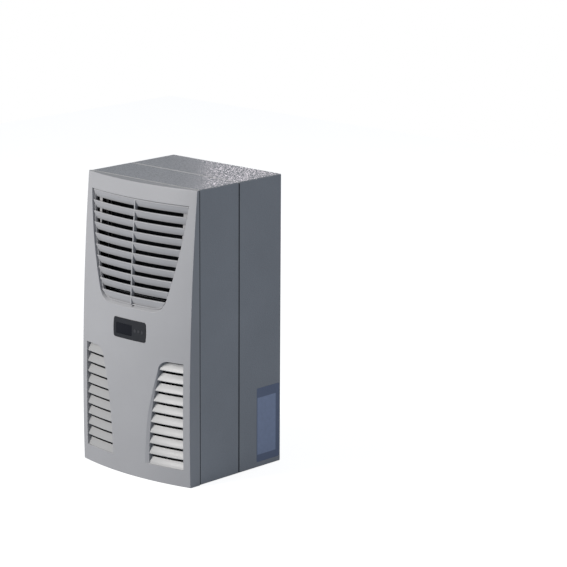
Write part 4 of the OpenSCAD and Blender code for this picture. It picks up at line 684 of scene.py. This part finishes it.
def makeFrontMoulding():
    half, height, slab = casing["width"] / 2, casing["height"], moulding["slab"]
    front = addBlock("frontMoulding", (-half, 0, 0), (half, slab, height))
    flares = [flaredCut(windowOutline, windowFlare, window["flareDepth"])]
    for side in (1, -1):
        flares.append(flaredCut(lambda inset: pocketOutline(inset, side), pocketFlare, pocket["flareDepth"]))
    outlines = (windowOutline(0), pocketOutline(0, 1), pocketOutline(0, -1), bezelOutline(-display["play"]))
    openings = [addPrism("cut", outline, through["front"], through["back"]) for outline in outlines]
    notch = addBlock("cut", (window["notchX"], 1, windowFoot - window["notchHeight"]),
                     (window["notchX"] + window["notchWidth"], through["back"], windowFoot + window["notchRise"]))
    cutAway(front, *flares, *openings, notch)
    # open the back, then round the rims
    pickParts(front, "FACE", lambda face: face.normal.y > 0.9)
    bpy.ops.mesh.delete(type="ONLY_FACE")
    dropPicks()

    def region(vert):
        x, z = abs(vert.co.x) / mm, vert.co.z / mm
        if x > half - near or z < near or z > height - near:
            return "edge"
        if z > windowFoot - moulding["windowZone"]:
            return "window"
        return "display" if z > moulding["displayZone"] else "pocket"

    def isRim(edge, name):
        if any(abs(vert.co.y) >= near * mm or region(vert) != name for vert in edge.verts):
            return False
        return len(edge.link_faces) == 2 and any(abs(face.normal.y) < 0.97 for face in edge.link_faces)

    for name, width, steps in (("window", window["rimRound"], 5), ("pocket", pocket["rimRound"], 3),
                               ("display", display["rimRound"], 2), ("edge", moulding["edgeRound"], 4)):
        pickParts(front, "EDGE", lambda edge: isRim(edge, name))
        bpy.ops.mesh.bevel(offset=width * mm, segments=steps, profile=0.5, affect="EDGES", clamp_overlap=True)
        dropPicks()
    # the collars end at their own depths
    for vert in front.data.vertices:
        if vert.co.y > (slab - near) * mm:
            depths = {"window": window["rimDepth"], "pocket": pocket["depth"], "display": display["collar"],
                      "edge": slab}
            vert.co.y = depths[region(vert)] * mm
    sliceUp(front, "x", -half + moulding["cell"], half - 1, moulding["cell"])
    sliceUp(front, "z", moulding["cell"], height - 1, moulding["cell"])
    bowPiece(front, lambda x, depth, z: depth > slab - near)
    pickAll(front)
    bpy.ops.mesh.remove_doubles(threshold=0.004 * mm)
    bpy.ops.mesh.normals_make_consistent(inside=False)
    dropPicks()
    applyMod(front, "SOLIDIFY", thickness=moulding["wall"] * mm, offset=-1, use_even_offset=False, use_rim=True)
    return finishPiece(front, finishes["mouldedFront"], "hood", ["front_fascia"], smooth=28)


def makePocketLouvres():
    # one blade per row, its front edge set back from the moulding, the rest climbing away behind it
    front, lip, nose = pocket["setBack"], pocket["lip"], pocket["noseRound"]
    for side, sideName in ((1, "Right"), (-1, "Left")):
        for i in range(pocket["count"]):
            z = pocket["top"] - pocket["firstDrop"] - i * pocket["pitch"]
            rise = pocket["rise"] if i else pocket["firstDrop"] - pocket["headGap"]
            depth = pocket["slatDepth"] * rise / pocket["rise"]
            slope = []
            for t in (0.25, 0.5, 0.75):
                slope.append((front + depth * t - pocket["crown"] * math.sin(math.pi * t), z + rise * t))
            profile = [(front + 0.25, z - lip + 0.1), (front, z - lip + nose), (front, z - 0.25),
                       (front + 0.3, z + 0.1)]
            profile += slope + [(front + depth, z + rise), (front + depth, z + rise - lip)]
            profile += [(y + 0.3, level - lip) for y, level in reversed(slope)]
            profile += [(front + nose, z - lip - 0.05)]
            blade = addPrism("louvre%s%02d" % (sideName, i + 1), profile, 1, 2, across="x")
            for vert in blade.data.vertices:
                edge = pocketInner(vert.co.z / mm) - pocket["sideReach"]
                if vert.co.x > 1.5 * mm:
                    edge = pocket["outer"] + pocket["sideReach"]
                vert.co.x = side * edge * mm
            if side < 0:
                flipPiece(blade)
            bowWide(blade)
            finishPiece(blade, finishes["louvrePlastic"], "hood", smooth=40)


grille = dict(play=0.6, band=2, bandFront=5.2, bandBack=11, bandFoot=7, slats=10, pitch=19.94, slatHeight=14.44,
              lastExtra=2.2, cornerX=54.9, lean=7, thick=1.8, bead=2, ribWidth=2.8, ribSet=0.5, ribBack=10.5,
              hookX=104.5, hookTop=11.5, hookFoot=4, hookDrop=3.6, hookHeight=64, hookFront=9.6, hookSet=13,
              hookBack=15, hookRoot=11.4)


def makeSlat(i):
    front, bead, lean, thick = window["recess"], grille["bead"], grille["lean"], grille["thick"]
    inset = grille["play"] + grille["band"] / 2
    z = window["top"] - grille["play"] - i * grille["pitch"]
    # the last slat reaches down to the sill
    height = grille["slatHeight"] + (grille["lastExtra"] if i == grille["slats"] - 1 else 0)
    profile = [(front + 0.5, z - bead - 0.2), (front, z - bead + 0.3), (front + 0.1, z - 1.2),
               (front + 0.7, z - 0.45), (front + 1.5, z), (front + thick, z)]
    profile += [(front + thick + lean * t ** 1.5, z - height * t) for t in (0.25, 0.5, 0.75, 1)]
    profile += [(front + lean * t ** 1.5 + 0.4 * (1 - t), z - height * t) for t in (1, 0.85, 0.7, 0.55, 0.4, 0.25)]
    slat = addPrism("slat", profile, 1, 2, across="x")
    for vert in slat.data.vertices:
        half = windowHalf(vert.co.z / mm) - inset
        drop = windowFoot + window["corner"] - vert.co.z / mm
        if drop > 0:
            half = min(half, grille["cornerX"] + math.sqrt(max((window["corner"] - inset) ** 2 - drop ** 2, 1)))
        vert.co.x = (half if vert.co.x > 1.5 * mm else -half) * mm
    bowWide(slat)
    return slat


def makeHook(side):
    # an arm set back behind a wider root at its head
    head, foot = window["top"] - grille["hookDrop"], window["top"] - grille["hookHeight"]
    corners = ((grille["hookX"], head), (grille["hookX"] + grille["hookTop"], head),
               (grille["hookX"] + grille["hookFoot"], foot), (grille["hookX"], foot))
    hook = addPrism("hook", [(side * x, z) for x, z in corners], grille["hookFront"], grille["hookBack"])
    half = casing["width"] / 2
    cutAway(hook, addBlock("cut", (-half, 0, windowFoot), (half, grille["hookSet"], head - grille["hookRoot"])))
    softenEdges(hook, 0.5, 2)
    sliceUp(hook, "z", foot + 8, head, 12)
    bowPiece(hook)
    return hook


def makePullGrille():
    inset = grille["play"] + grille["band"] / 2
    band = addPrism("band", windowOutline(grille["play"]), grille["bandFront"], grille["bandBack"])
    # the foot of the band is cut back behind the sill
    cutAway(band, addPrism("cut", windowOutline(grille["play"] + grille["band"]), 0, through["back"]),
            addBlock("cut", (-100, grille["bandFoot"], windowFoot - 5), (100, through["back"], windowFoot + 4)))
    softenEdges(band, 0.35, 2, 60)
    bowWide(band)
    rib = addBlock("rib", (-grille["ribWidth"] / 2, window["recess"] + grille["ribSet"], windowFoot + inset),
                   (grille["ribWidth"] / 2, grille["ribBack"], window["top"] - inset))
    softenEdges(rib, 0.7, 3)
    sliceUp(rib, "z", windowFoot + 8, window["top"] - 2, 10)
    bowPiece(rib)
    slats = [makeSlat(i) for i in range(grille["slats"])]
    whole = joinAll("pullGrille", [band] + slats + [rib] + [makeHook(side) for side in (1, -1)])
    return finishPiece(whole, finishes["mouldedFront"], "grille", ["louvre_grille"], smooth=35)


def makeDisplay():
    screenMiddle = display["z"] - display["screenDrop"]
    low = Vector((display["screenX"], -5, screenMiddle - display["screenHeight"] / 2))
    high = Vector((display["screenX"] + display["screenWidth"], 10, screenMiddle + display["screenHeight"] / 2))
    bezel = addPrism("displayFrame", bezelOutline(0), -display["proud"], display["back"])
    cutters = [addBlock("cut", low, high)]
    for i in range(3):
        spot = (display["keyX"] + i * display["keyPitch"], 0, display["z"])
        cutters.append(addRod("cut", spot, display["keyHole"], 20, sides=40))
    cutAway(bezel, *cutters)
    softenEdges(bezel, 0.5, 3, 50)
    sliceUp(bezel, "x", -36, 38, 8)
    bowPiece(bezel)
    finishPiece(bezel, finishes["bezelPlastic"], "hood", ["display_bezel"])
    play = display["screenPlay"]
    screen = addBlock("displayScreen", (low.x + play, -display["screenFront"], low.z + play),
                      (high.x - play, 2, high.z - play))
    softenEdges(screen, 0.35, 3)
    sliceUp(screen, "x", -30, 7, 6)
    bowPiece(screen)
    finishPiece(screen, finishes["darkScreen"], "hood", ["display_window"])


sheet = dict(foldRound=2.2, edgeRound=0.35, plateRound=0.3)


def onFold(spot):
    # the long outer edges of the folded casing, and the rear rim
    half, height = casing["width"] / 2, casing["height"]
    atSide = abs(abs(spot.x) - half) < 2 * near
    atEnd = abs(spot.z) < 2 * near or abs(spot.z - height) < 2 * near
    atRear = abs(spot.y - casing["rearY"]) < 2 * near
    return atSide + atEnd + atRear >= 2


def makeCasing():
    for node, name, look in (("rear_tray", "rearTray", "trayPaintWithPaintedLight"), ("hood_shell", "hoodShell", "hoodPaintWithPaintedLight")):
        roundedCopy(node, name, sheet["edgeRound"], finishes[look], bodyOf[node], fold=onFold,
                    foldWidth=sheet["foldRound"])
    for node, name, look in (("partition_plate", "partition", "galvanised"),
                             ("base_plate", "basePlate", "galvanised"),
                             # the fan shroud and condenser brackets are black partly as their own coat and partly as
                             # painted shade for what shows through the front's gaps
                             ("fan_shroud", "fanShroud", "blackSheetWithPaintedShade"),
                             ("condenser_brackets", "condenserBrackets", "blackSheetWithPaintedShade"),
                             ("evaporator_brackets", "evaporatorBrackets", "galvanised"),
                             ("control_box", "controlBox", "galvanised"),
                             ("control_box_cover", "controlBoxCover", "galvanised")):
        roundedCopy(node, name, sheet["plateRound"], finishes[look], bodyOf[node])


def roundedBox(low, high, corner, steps=5):
    # outline of a rectangle with round corners
    points = []
    for turn, (cx, cy) in enumerate(((high[0], high[1]), (low[0], high[1]), (low[0], low[1]), (high[0], low[1]))):
        midX = cx - corner if cx == high[0] else cx + corner
        midY = cy - corner if cy == high[1] else cy + corner
        for i in range(steps + 1):
            a = math.pi / 2 * (turn + i / steps)
            points.append((midX + corner * math.cos(a), midY + corner * math.sin(a)))
    return points


def makeLabel():
    rear = casing["rearY"] - label["rearGap"]
    outline = roundedBox((rear - label["width"], label["foot"]), (rear, label["foot"] + label["height"]),
                         label["corner"])
    film = addPrism("sideLabel", outline, label["x"], label["x"] + label["thick"], across="x")
    softenEdges(film, 0.06, 1)
    finishPiece(film, finishes["labelFilm"], "chassis", ["rating_plate"])


foamLooks = {
    "rear_gasket": dict(name="rearGasket", finish="blackFoam", slot="foam_black", round=1.1, fill=0.9),
    "hood_seal": dict(name="hoodSeal", finish="blackFoam", slot="foam_black", round=1.4, fill=0.9),
    "foam_liner": dict(name="foamLiner", finish="paleFoam", slot="foam_light", round=1.5, fill=0.95),
}


def makeFoam():
    for node, look in foamLooks.items():
        pad = roundedCopy(node, look["name"], look["round"], finishes[look["finish"]], bodyOf[node],
                          segments=4)


hoodScrew = dict(x=102, z=464.5, head=3.2, reach=2.3, width=1.1, depth=1.8)


def crossCut(x, y, z):
    # a cross recess that goes in along y from the middle of a screw's head
    cuts = []
    for halfX, halfZ in ((hoodScrew["reach"], hoodScrew["width"] / 2), (hoodScrew["width"] / 2, hoodScrew["reach"])):
        cuts.append(addBlock("cut", (x - halfX, y - 2, z - halfZ), (x + halfX, y + hoodScrew["depth"], z + halfZ)))
    return cuts


def makeFixings():
    zinc = finishes["zincPlate"]
    headY = casing["rearY"] - casing["hoodFront"] - hoodScrew["head"]
    cuts = crossCut(-hoodScrew["x"], headY, hoodScrew["z"]) + crossCut(hoodScrew["x"], headY, hoodScrew["z"])
    roundedCopy("hood_screws", "hoodScrews", 0.5, zinc, bodyOf["hood_screws"], segments=3, cutters=cuts)
    for node, name, width in (("rivet_nuts", "threadedInserts", 0.25), ("fascia_screws", "frontScrews", 0.3),
                              ("evaporator_fan_screws", "enclosureFanScrews", 0.4),
                              ("condenser_fan_screws", "roomFanScrews", 0.4),
                              ("compressor_fixings", "compressorStuds", 0.35)):
        roundedCopy(node, name, width, zinc, bodyOf[node])
    for node, name in (("compressor_grommets", "compressorMounts"), ("pipe_grommets", "pipeRings")):
        roundedCopy(node, name, 0.5, finishes["blackRubber"], bodyOf[node], segments=3)


coilLooks = {
    "evaporator_fins": dict(name="evaporatorFins", finish="bareFin", pitch=2.4),
    "condenser_fins": dict(name="condenserFins", finish="coatedFin", pitch=2.4),
}
finShape = dict(thick=0.22, wave=0.45, folds=8)


def makeCoils():
    # thin corrugated plates, much closer than the CAD's
    for node, look in coilLooks.items():
        low, high = [Vector(corner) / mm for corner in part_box(node)]
        plates = []
        count = int((high.x - low.x) / look["pitch"])
        step = (high.x - low.x - finShape["thick"] - 2 * finShape["wave"]) / count
        folds = finShape["folds"]
        for i in range(count + 1):
            x = low.x + finShape["wave"] + i * step
            outline = []
            for j in range(folds + 1):
                outline.append((x + finShape["wave"] * (1 if j % 2 else -1), low.y + (high.y - low.y) * j / folds))
            outline += [(a + finShape["thick"], b) for a, b in reversed(outline)]
            plates.append(addPrism("plate", outline, low.z, high.z, across="z"))
        finishPiece(joinAll(look["name"], plates), finishes[look["finish"]], bodyOf[node], [node],
                    smooth=0)
    for node, name, finish in (("evaporator_tubes", "evaporatorTubes", "copperPipe"),
                               ("condenser_tubes", "condenserTubes", "coatedFin")):
        roundedCopy(node, name, 0.2, finishes[finish], bodyOf[node], angle=60)


fanLooks = {
    "condenser_fan_rotor": dict(name="roomFanWheel", frame="condenser_fan_frame", frameName="roomFanFrame", size=150,
                                back=-1),
    "evaporator_fan_rotor": dict(name="enclosureFanWheel", frame="evaporator_fan_frame",
                                 frameName="enclosureFanFrame", size=120, back=1),
}
blade = dict(count=7, hubShare=0.36, wall=3.5, tipGap=1.8, thick=1.3, rootAngle=52, tipAngle=30, sweep=18, across=7,
             along=6, rootSink=0.8, depthPlay=1.4, tipDrop=0.25, chord=1.15, camber=2.0)
# how far in from the rim of the hub and down from its cap the round of its edge runs, and the hub's walls
hubShape = dict(edge=((5, 0), (2, 0.8), (0.6, 2.4), (0, 5)), wall=2, roof=2.5)


def makeLeaf(i, hub, tip, span):
    dropPicks()
    bpy.ops.mesh.primitive_grid_add(x_subdivisions=blade["across"], y_subdivisions=blade["along"], size=2)
    leaf = bpy.context.object
    leaf.name = "leaf"
    root = hub - blade["rootSink"]
    for vert in leaf.data.vertices:
        out, chord = (vert.co.x + 1) / 2, vert.co.y
        radius = root + (tip - root) * out
        angle = math.radians(blade["rootAngle"] + (blade["tipAngle"] - blade["rootAngle"]) * out)
        # the chord's rise fills the depth at the root and less at the tip
        rise = span * (1 - blade["tipDrop"] * out ** 2) * chord
        run = span * blade["chord"] / math.tan(angle) * chord + blade["camber"] * (1 - chord * chord)
        turn = run / radius + math.radians(blade["sweep"]) * out ** 2 + 2 * math.pi * i / blade["count"]
        vert.co = Vector((radius * math.cos(turn), radius * math.sin(turn), rise)) * mm
    applyMod(leaf, "SOLIDIFY", thickness=blade["thick"] * mm, offset=0)
    return softenEdges(leaf, 0.4, 2, 50)


def makeFans():
    for node, look in fanLooks.items():
        low, high = [Vector(corner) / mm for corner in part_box(node)]
        bore, top = look["size"] / 2 - blade["wall"], (high.y - low.y) / 2
        hub = blade["hubShare"] * bore
        profile = [(0, top)] + [(hub - inward, top - down) for inward, down in hubShape["edge"]]
        profile += [(hub, -top), (hub - hubShape["wall"], -top), (hub - hubShape["wall"], top - hubShape["roof"]),
                    (0, top - hubShape["roof"])]
        # the cap of the hub faces the free side, its rim the struts
        parts = [addSpun("hub", [(r, -look["back"] * h) for r, h in profile], (0, 0, 0), 72)]
        for i in range(blade["count"]):
            parts.append(makeLeaf(i, hub, bore - blade["tipGap"], top - blade["depthPlay"] / 2))
        wheel = joinAll(look["name"], parts)
        wheel.data.transform(Matrix.Translation((low + high) / 2 * mm) @ Matrix.Rotation(math.pi / 2, 4, "X"))
        pickAll(wheel)
        bpy.ops.mesh.normals_make_consistent(inside=False)
        dropPicks()
        finishPiece(wheel, finishes["fanPlastic"], bodyOf[node], [node], smooth=40)
        roundedCopy(look["frame"], look["frameName"], 0.5, finishes["fanPlastic"], bodyOf[look["frame"]],
                    angle=50)


compressor = dict(x=-50, y=-20.5, foot=20.4, height=168, radius=43.8, seam=108, baseRound=26, baseDrop=20, domeIn=1.4,
                  domeRound=30, domeDrop=26, plate=3, plateCorner=8, footX=51, footY=29, footHole=6.3, stubX=18,
                  seamShape=((0, -9), (0.5, -4), (1.8, -3), (2.2, -1.5), (2.2, 0.5), (1.7, 1.6), (-0.6, 2.4)),
                  stub=((0, 0), (4.6, 0), (4.6, 12), (5.6, 13), (5.6, 17), (4.75, 18), (4.75, 30), (0, 30)))


def makeCompressor():
    look = compressor
    r, h, foot = look["radius"], look["height"], look["foot"]
    base, drop, dome = look["baseRound"], look["baseDrop"], look["domeRound"]
    profile = [(0, 0)]
    for i in range(9):
        a = math.pi / 2 * i / 8
        profile.append((r - base + base * math.sin(a), drop - drop * math.cos(a)))
    profile += [(r + out, look["seam"] + up) for out, up in look["seamShape"]]
    for i in range(11):
        a = math.pi / 2 * i / 10
        profile.append((r - look["domeIn"] - dome + dome * math.cos(a),
                        h - look["domeDrop"] + look["domeDrop"] * math.sin(a)))
    profile.append((0, h))
    parts = [addSpun("shell", profile, (look["x"], look["y"], foot), 96)]
    low, high = [Vector(corner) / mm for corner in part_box("compressor")]
    cx, cy = (low.x + high.x) / 2, (low.y + high.y) / 2
    outline = roundedBox((low.x, low.y), (high.x, high.y), look["plateCorner"])
    plate = addPrism("plate", outline, foot - look["plate"], foot, across="z")
    for x in (-look["footX"], look["footX"]):
        for y in (-look["footY"], look["footY"]):
            cutAway(plate, addRod("cut", (cx + x, cy + y, foot - look["plate"] / 2), look["footHole"], 10, "z", 40))
    softenEdges(plate, 0.5, 2, 50)
    parts.append(plate)
    for x in (-look["stubX"], look["stubX"]):
        parts.append(addSpun("stub", look["stub"], (cx + x, cy, high.z - look["stub"][-1][1]), 32))
    whole = joinAll("compressorShell", parts)
    finishPiece(whole, finishes["shellPaint"], bodyOf["compressor"], ["compressor"], smooth=40)


# rounds are given as how far in from the side and, at the head, how far down from the top
capacitor = dict(footRound=((1.2, 0), (0.3, 0.4), (0, 1.4)),
                 headRound=((0, 9.5), (0.5, 8.6), (0, 7.7), (0.2, 6.6), (1.5, 6.6), (1.9, 7.6)), tabX=5.7,
                 tabThick=0.8, tabHalf=3, tabHeight=8, tabHole=0.9, holeDrop=2.4)


def makeCapacitor():
    look = capacitor
    low, high = [Vector(corner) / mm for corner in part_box("run_capacitor")]
    mid = (low + high) / 2
    r, h = (high.x - low.x) / 2, high.z - low.z
    profile = [(0, 0)] + [(r - inward, up) for inward, up in look["footRound"]]
    profile += [(r - inward, h - down) for inward, down in look["headRound"]] + [(0, h - look["headRound"][-1][1])]
    parts = [addSpun("can", profile, (mid.x, mid.y, low.z), 64)]
    for x in (-look["tabX"], look["tabX"]):
        tab = addBlock("tab", (mid.x + x - look["tabThick"], mid.y - look["tabHalf"], high.z - look["tabHeight"]),
                       (mid.x + x, mid.y + look["tabHalf"], high.z))
        cutAway(tab, addRod("cut", (mid.x + x, mid.y, high.z - look["holeDrop"]), look["tabHole"], 6, "x", 20))
        parts.append(tab)
    finishPiece(joinAll("runCapacitor", parts), finishes["canAluminium"], bodyOf["run_capacitor"],
                ["run_capacitor"], smooth=35)


# pieces that only need broken edges: name, finish, slot, and the width and angle of the edges
coverLooks = {
    "terminal_cover": ("terminalCover", "fanPlastic", "fan_black", 1.0, 35),
    "drip_tray": ("dripTray", "trayPlastic", "tray_plastic", 0.4, 35),
}
plainLooks = {
    "filter_drier": ("filterDrier", "copperPipe", "copper", 0.6, 25),
    "power_terminals": ("supplyTerminals", "terminalPlastic", "terminal_green", 0.5, 35),
    "inlet_sensor": ("inletSensor", "canAluminium", "zinc", 0.4, 35),
    "key_set": ("keySet", "keyPlastic", "key_plastic", 0.35, 50),
    "key_up": ("keyUp", "keyPlastic", "key_plastic", 0.35, 50),
    "key_down": ("keyDown", "keyPlastic", "key_plastic", 0.35, 50),
    "suction_line": ("suctionLine", "copperPipe", "copper", 0.3, 50),
    "discharge_line": ("dischargeLine", "copperPipe", "copper", 0.3, 50),
    "liquid_line": ("liquidLine", "copperPipe", "copper", 0.3, 50),
    "capillary_tube": ("capillaryTube", "copperPipe", "copper", 0.15, 50),
    "condenser_fan_motor": ("roomFanMotor", "canAluminium", "motor", 0.5, 50),
    "evaporator_fan_motor": ("enclosureFanMotor", "canAluminium", "motor", 0.5, 50),
    "control_board": ("controlBoard", "circuitBoard", "circuit_board", 0.15, 50),
    "display_board": ("displayBoard", "circuitBoard", "circuit_board", 0.15, 50),
    "compressor_lead": ("compressorLead", "leadJacket", "lead_black", 0.4, 50),
    "fan_lead": ("fanLead", "leadJacket", "lead_black", 0.4, 50),
}


def makePlain(looks):
    for node, (name, finish, slotName, width, angle) in looks.items():
        roundedCopy(node, name, width, finishes[finish], bodyOf[node], segments=3, angle=angle)


makeFrontMoulding()
print("front moulding done")
makePocketLouvres()
print("pocket louvres done")
makePullGrille()
print("pull-out grille done")
makeDisplay()
print("display done")
makeCasing()
makeLabel()
makeFoam()
makeFixings()
print("casing, label, foam and fixings done")
makeCoils()
makeFans()
print("coils and fans done")
makeCompressor()
makePlain(coverLooks)
makeCapacitor()
print("compressor and capacitor done")
makePlain(plainLooks)
print("keys, pipes, boards and motors done")


stage = dict(floor=6.0, drop=-0.0002, floorGrey=(0.5, 0.5, 0.5), floorTint=(0.40, 0.44, 0.50), floorLift=0.86,
             air=0.225, airTint=(0.80, 0.88, 1.0))


def makeStage():
    dropPicks()
    bpy.ops.mesh.primitive_plane_add(size=stage["floor"], location=(0, 0, stage["drop"]))
    floor = bpy.context.object
    floor.name = "studioFloor"
    paint, tree, shader = startFinish("studioPaper")[:3]
    tree.nodes.remove(shader)
    matt = tree.nodes.new("ShaderNodeBsdfDiffuse")
    matt.inputs["Color"].default_value = (*stage["floorGrey"], 1)
    lift = tree.nodes.new("ShaderNodeEmission")
    lift.inputs["Color"].default_value = (1, 1, 1, 1)
    lift.inputs["Strength"].default_value = stage["floorLift"]
    both = tree.nodes.new("ShaderNodeAddShader")
    seen = tree.nodes.new("ShaderNodeLightPath")
    pick = tree.nodes.new("ShaderNodeMixShader")
    dull = tree.nodes.new("ShaderNodeBsdfDiffuse")
    dull.inputs["Color"].default_value = (*stage["floorTint"], 1)
    tree.links.new(matt.outputs[0], both.inputs[0])
    tree.links.new(lift.outputs[0], both.inputs[1])
    tree.links.new(seen.outputs["Is Camera Ray"], pick.inputs[0])
    tree.links.new(dull.outputs[0], pick.inputs[1])
    tree.links.new(both.outputs[0], pick.inputs[2])
    tree.links.new(pick.outputs[0], tree.nodes["Material Output"].inputs["Surface"])
    floor.data.materials.append(paint)
    world = bpy.data.worlds.new("studioAir")
    bpy.context.scene.world = world
    world.use_nodes = True
    air = world.node_tree
    back = air.nodes["Background"]
    back.inputs["Color"].default_value = (*stage["airTint"], 1)
    back.inputs["Strength"].default_value = stage["air"]
    white = air.nodes.new("ShaderNodeBackground")
    white.inputs["Color"].default_value = (1, 1, 1, 1)
    white.inputs["Strength"].default_value = 1
    rays = air.nodes.new("ShaderNodeLightPath")
    swap = air.nodes.new("ShaderNodeMixShader")
    air.links.new(rays.outputs["Is Camera Ray"], swap.inputs[0])
    air.links.new(back.outputs[0], swap.inputs[1])
    air.links.new(white.outputs[0], swap.inputs[2])
    air.links.new(swap.outputs[0], air.nodes["World Output"].inputs["Surface"])


lamps = {
    "keyLamp": dict(place=(-0.97, -2.6, 1.25), aim=(0, 0, 0.3), size=0.8, watts=41, colour=(1.0, 0.97, 0.95)),
    "glossLamp": dict(place=(-1.4, -1.9, 1.8), aim=(0, 0, 0.3), size=0.6, watts=15, colour=(1.0, 0.98, 0.94)),
    "sideLamp": dict(place=(3.4, 0.4, 1.1), aim=(0, 0, 0.3), size=1.2, watts=7, colour=(0.88, 0.94, 1.0)),
    "backLamp": dict(place=(-1.76, 2.1, 1.14), aim=(0.1, 0.1, 0.55), size=0.3, watts=1.0, colour=(1.0, 0.9, 0.96)),
    "rimLamp": dict(place=(0.1, 2.5, 2.6), aim=(0.1, 0.0, 0.55), size=0.8, watts=14, colour=(1.0, 0.98, 0.92)),
}


def makeLamps():
    for name, look in lamps.items():
        light = bpy.data.lights.new(name, "AREA")
        light.shape = "SQUARE"
        light.size = look["size"]
        light.energy = look["watts"]
        light.color = look["colour"]
        lamp = bpy.data.objects.new(name, light)
        bpy.context.collection.objects.link(lamp)
        lamp.location = look["place"]
        lamp.rotation_euler = (Vector(look["aim"]) - Vector(look["place"])).to_track_quat("-Z", "Y").to_euler()


cameraLook = dict(place=(3.44408, -3.48316, 1.49652), turn=(76.73571, -0.28398, 42.45804), lens=171.94, sensor=36)


def makeCamera():
    view = bpy.data.cameras.new("photoCamera")
    view.lens = cameraLook["lens"]
    view.sensor_width = cameraLook["sensor"]
    camera = bpy.data.objects.new("photoCamera", view)
    bpy.context.collection.objects.link(camera)
    camera.location = cameraLook["place"]
    camera.rotation_euler = [math.radians(a) for a in cameraLook["turn"]]
    bpy.context.scene.camera = camera


makeStage()
makeLamps()
makeCamera()
bpy.context.scene.view_settings.view_transform = "Standard"
print("stage done")
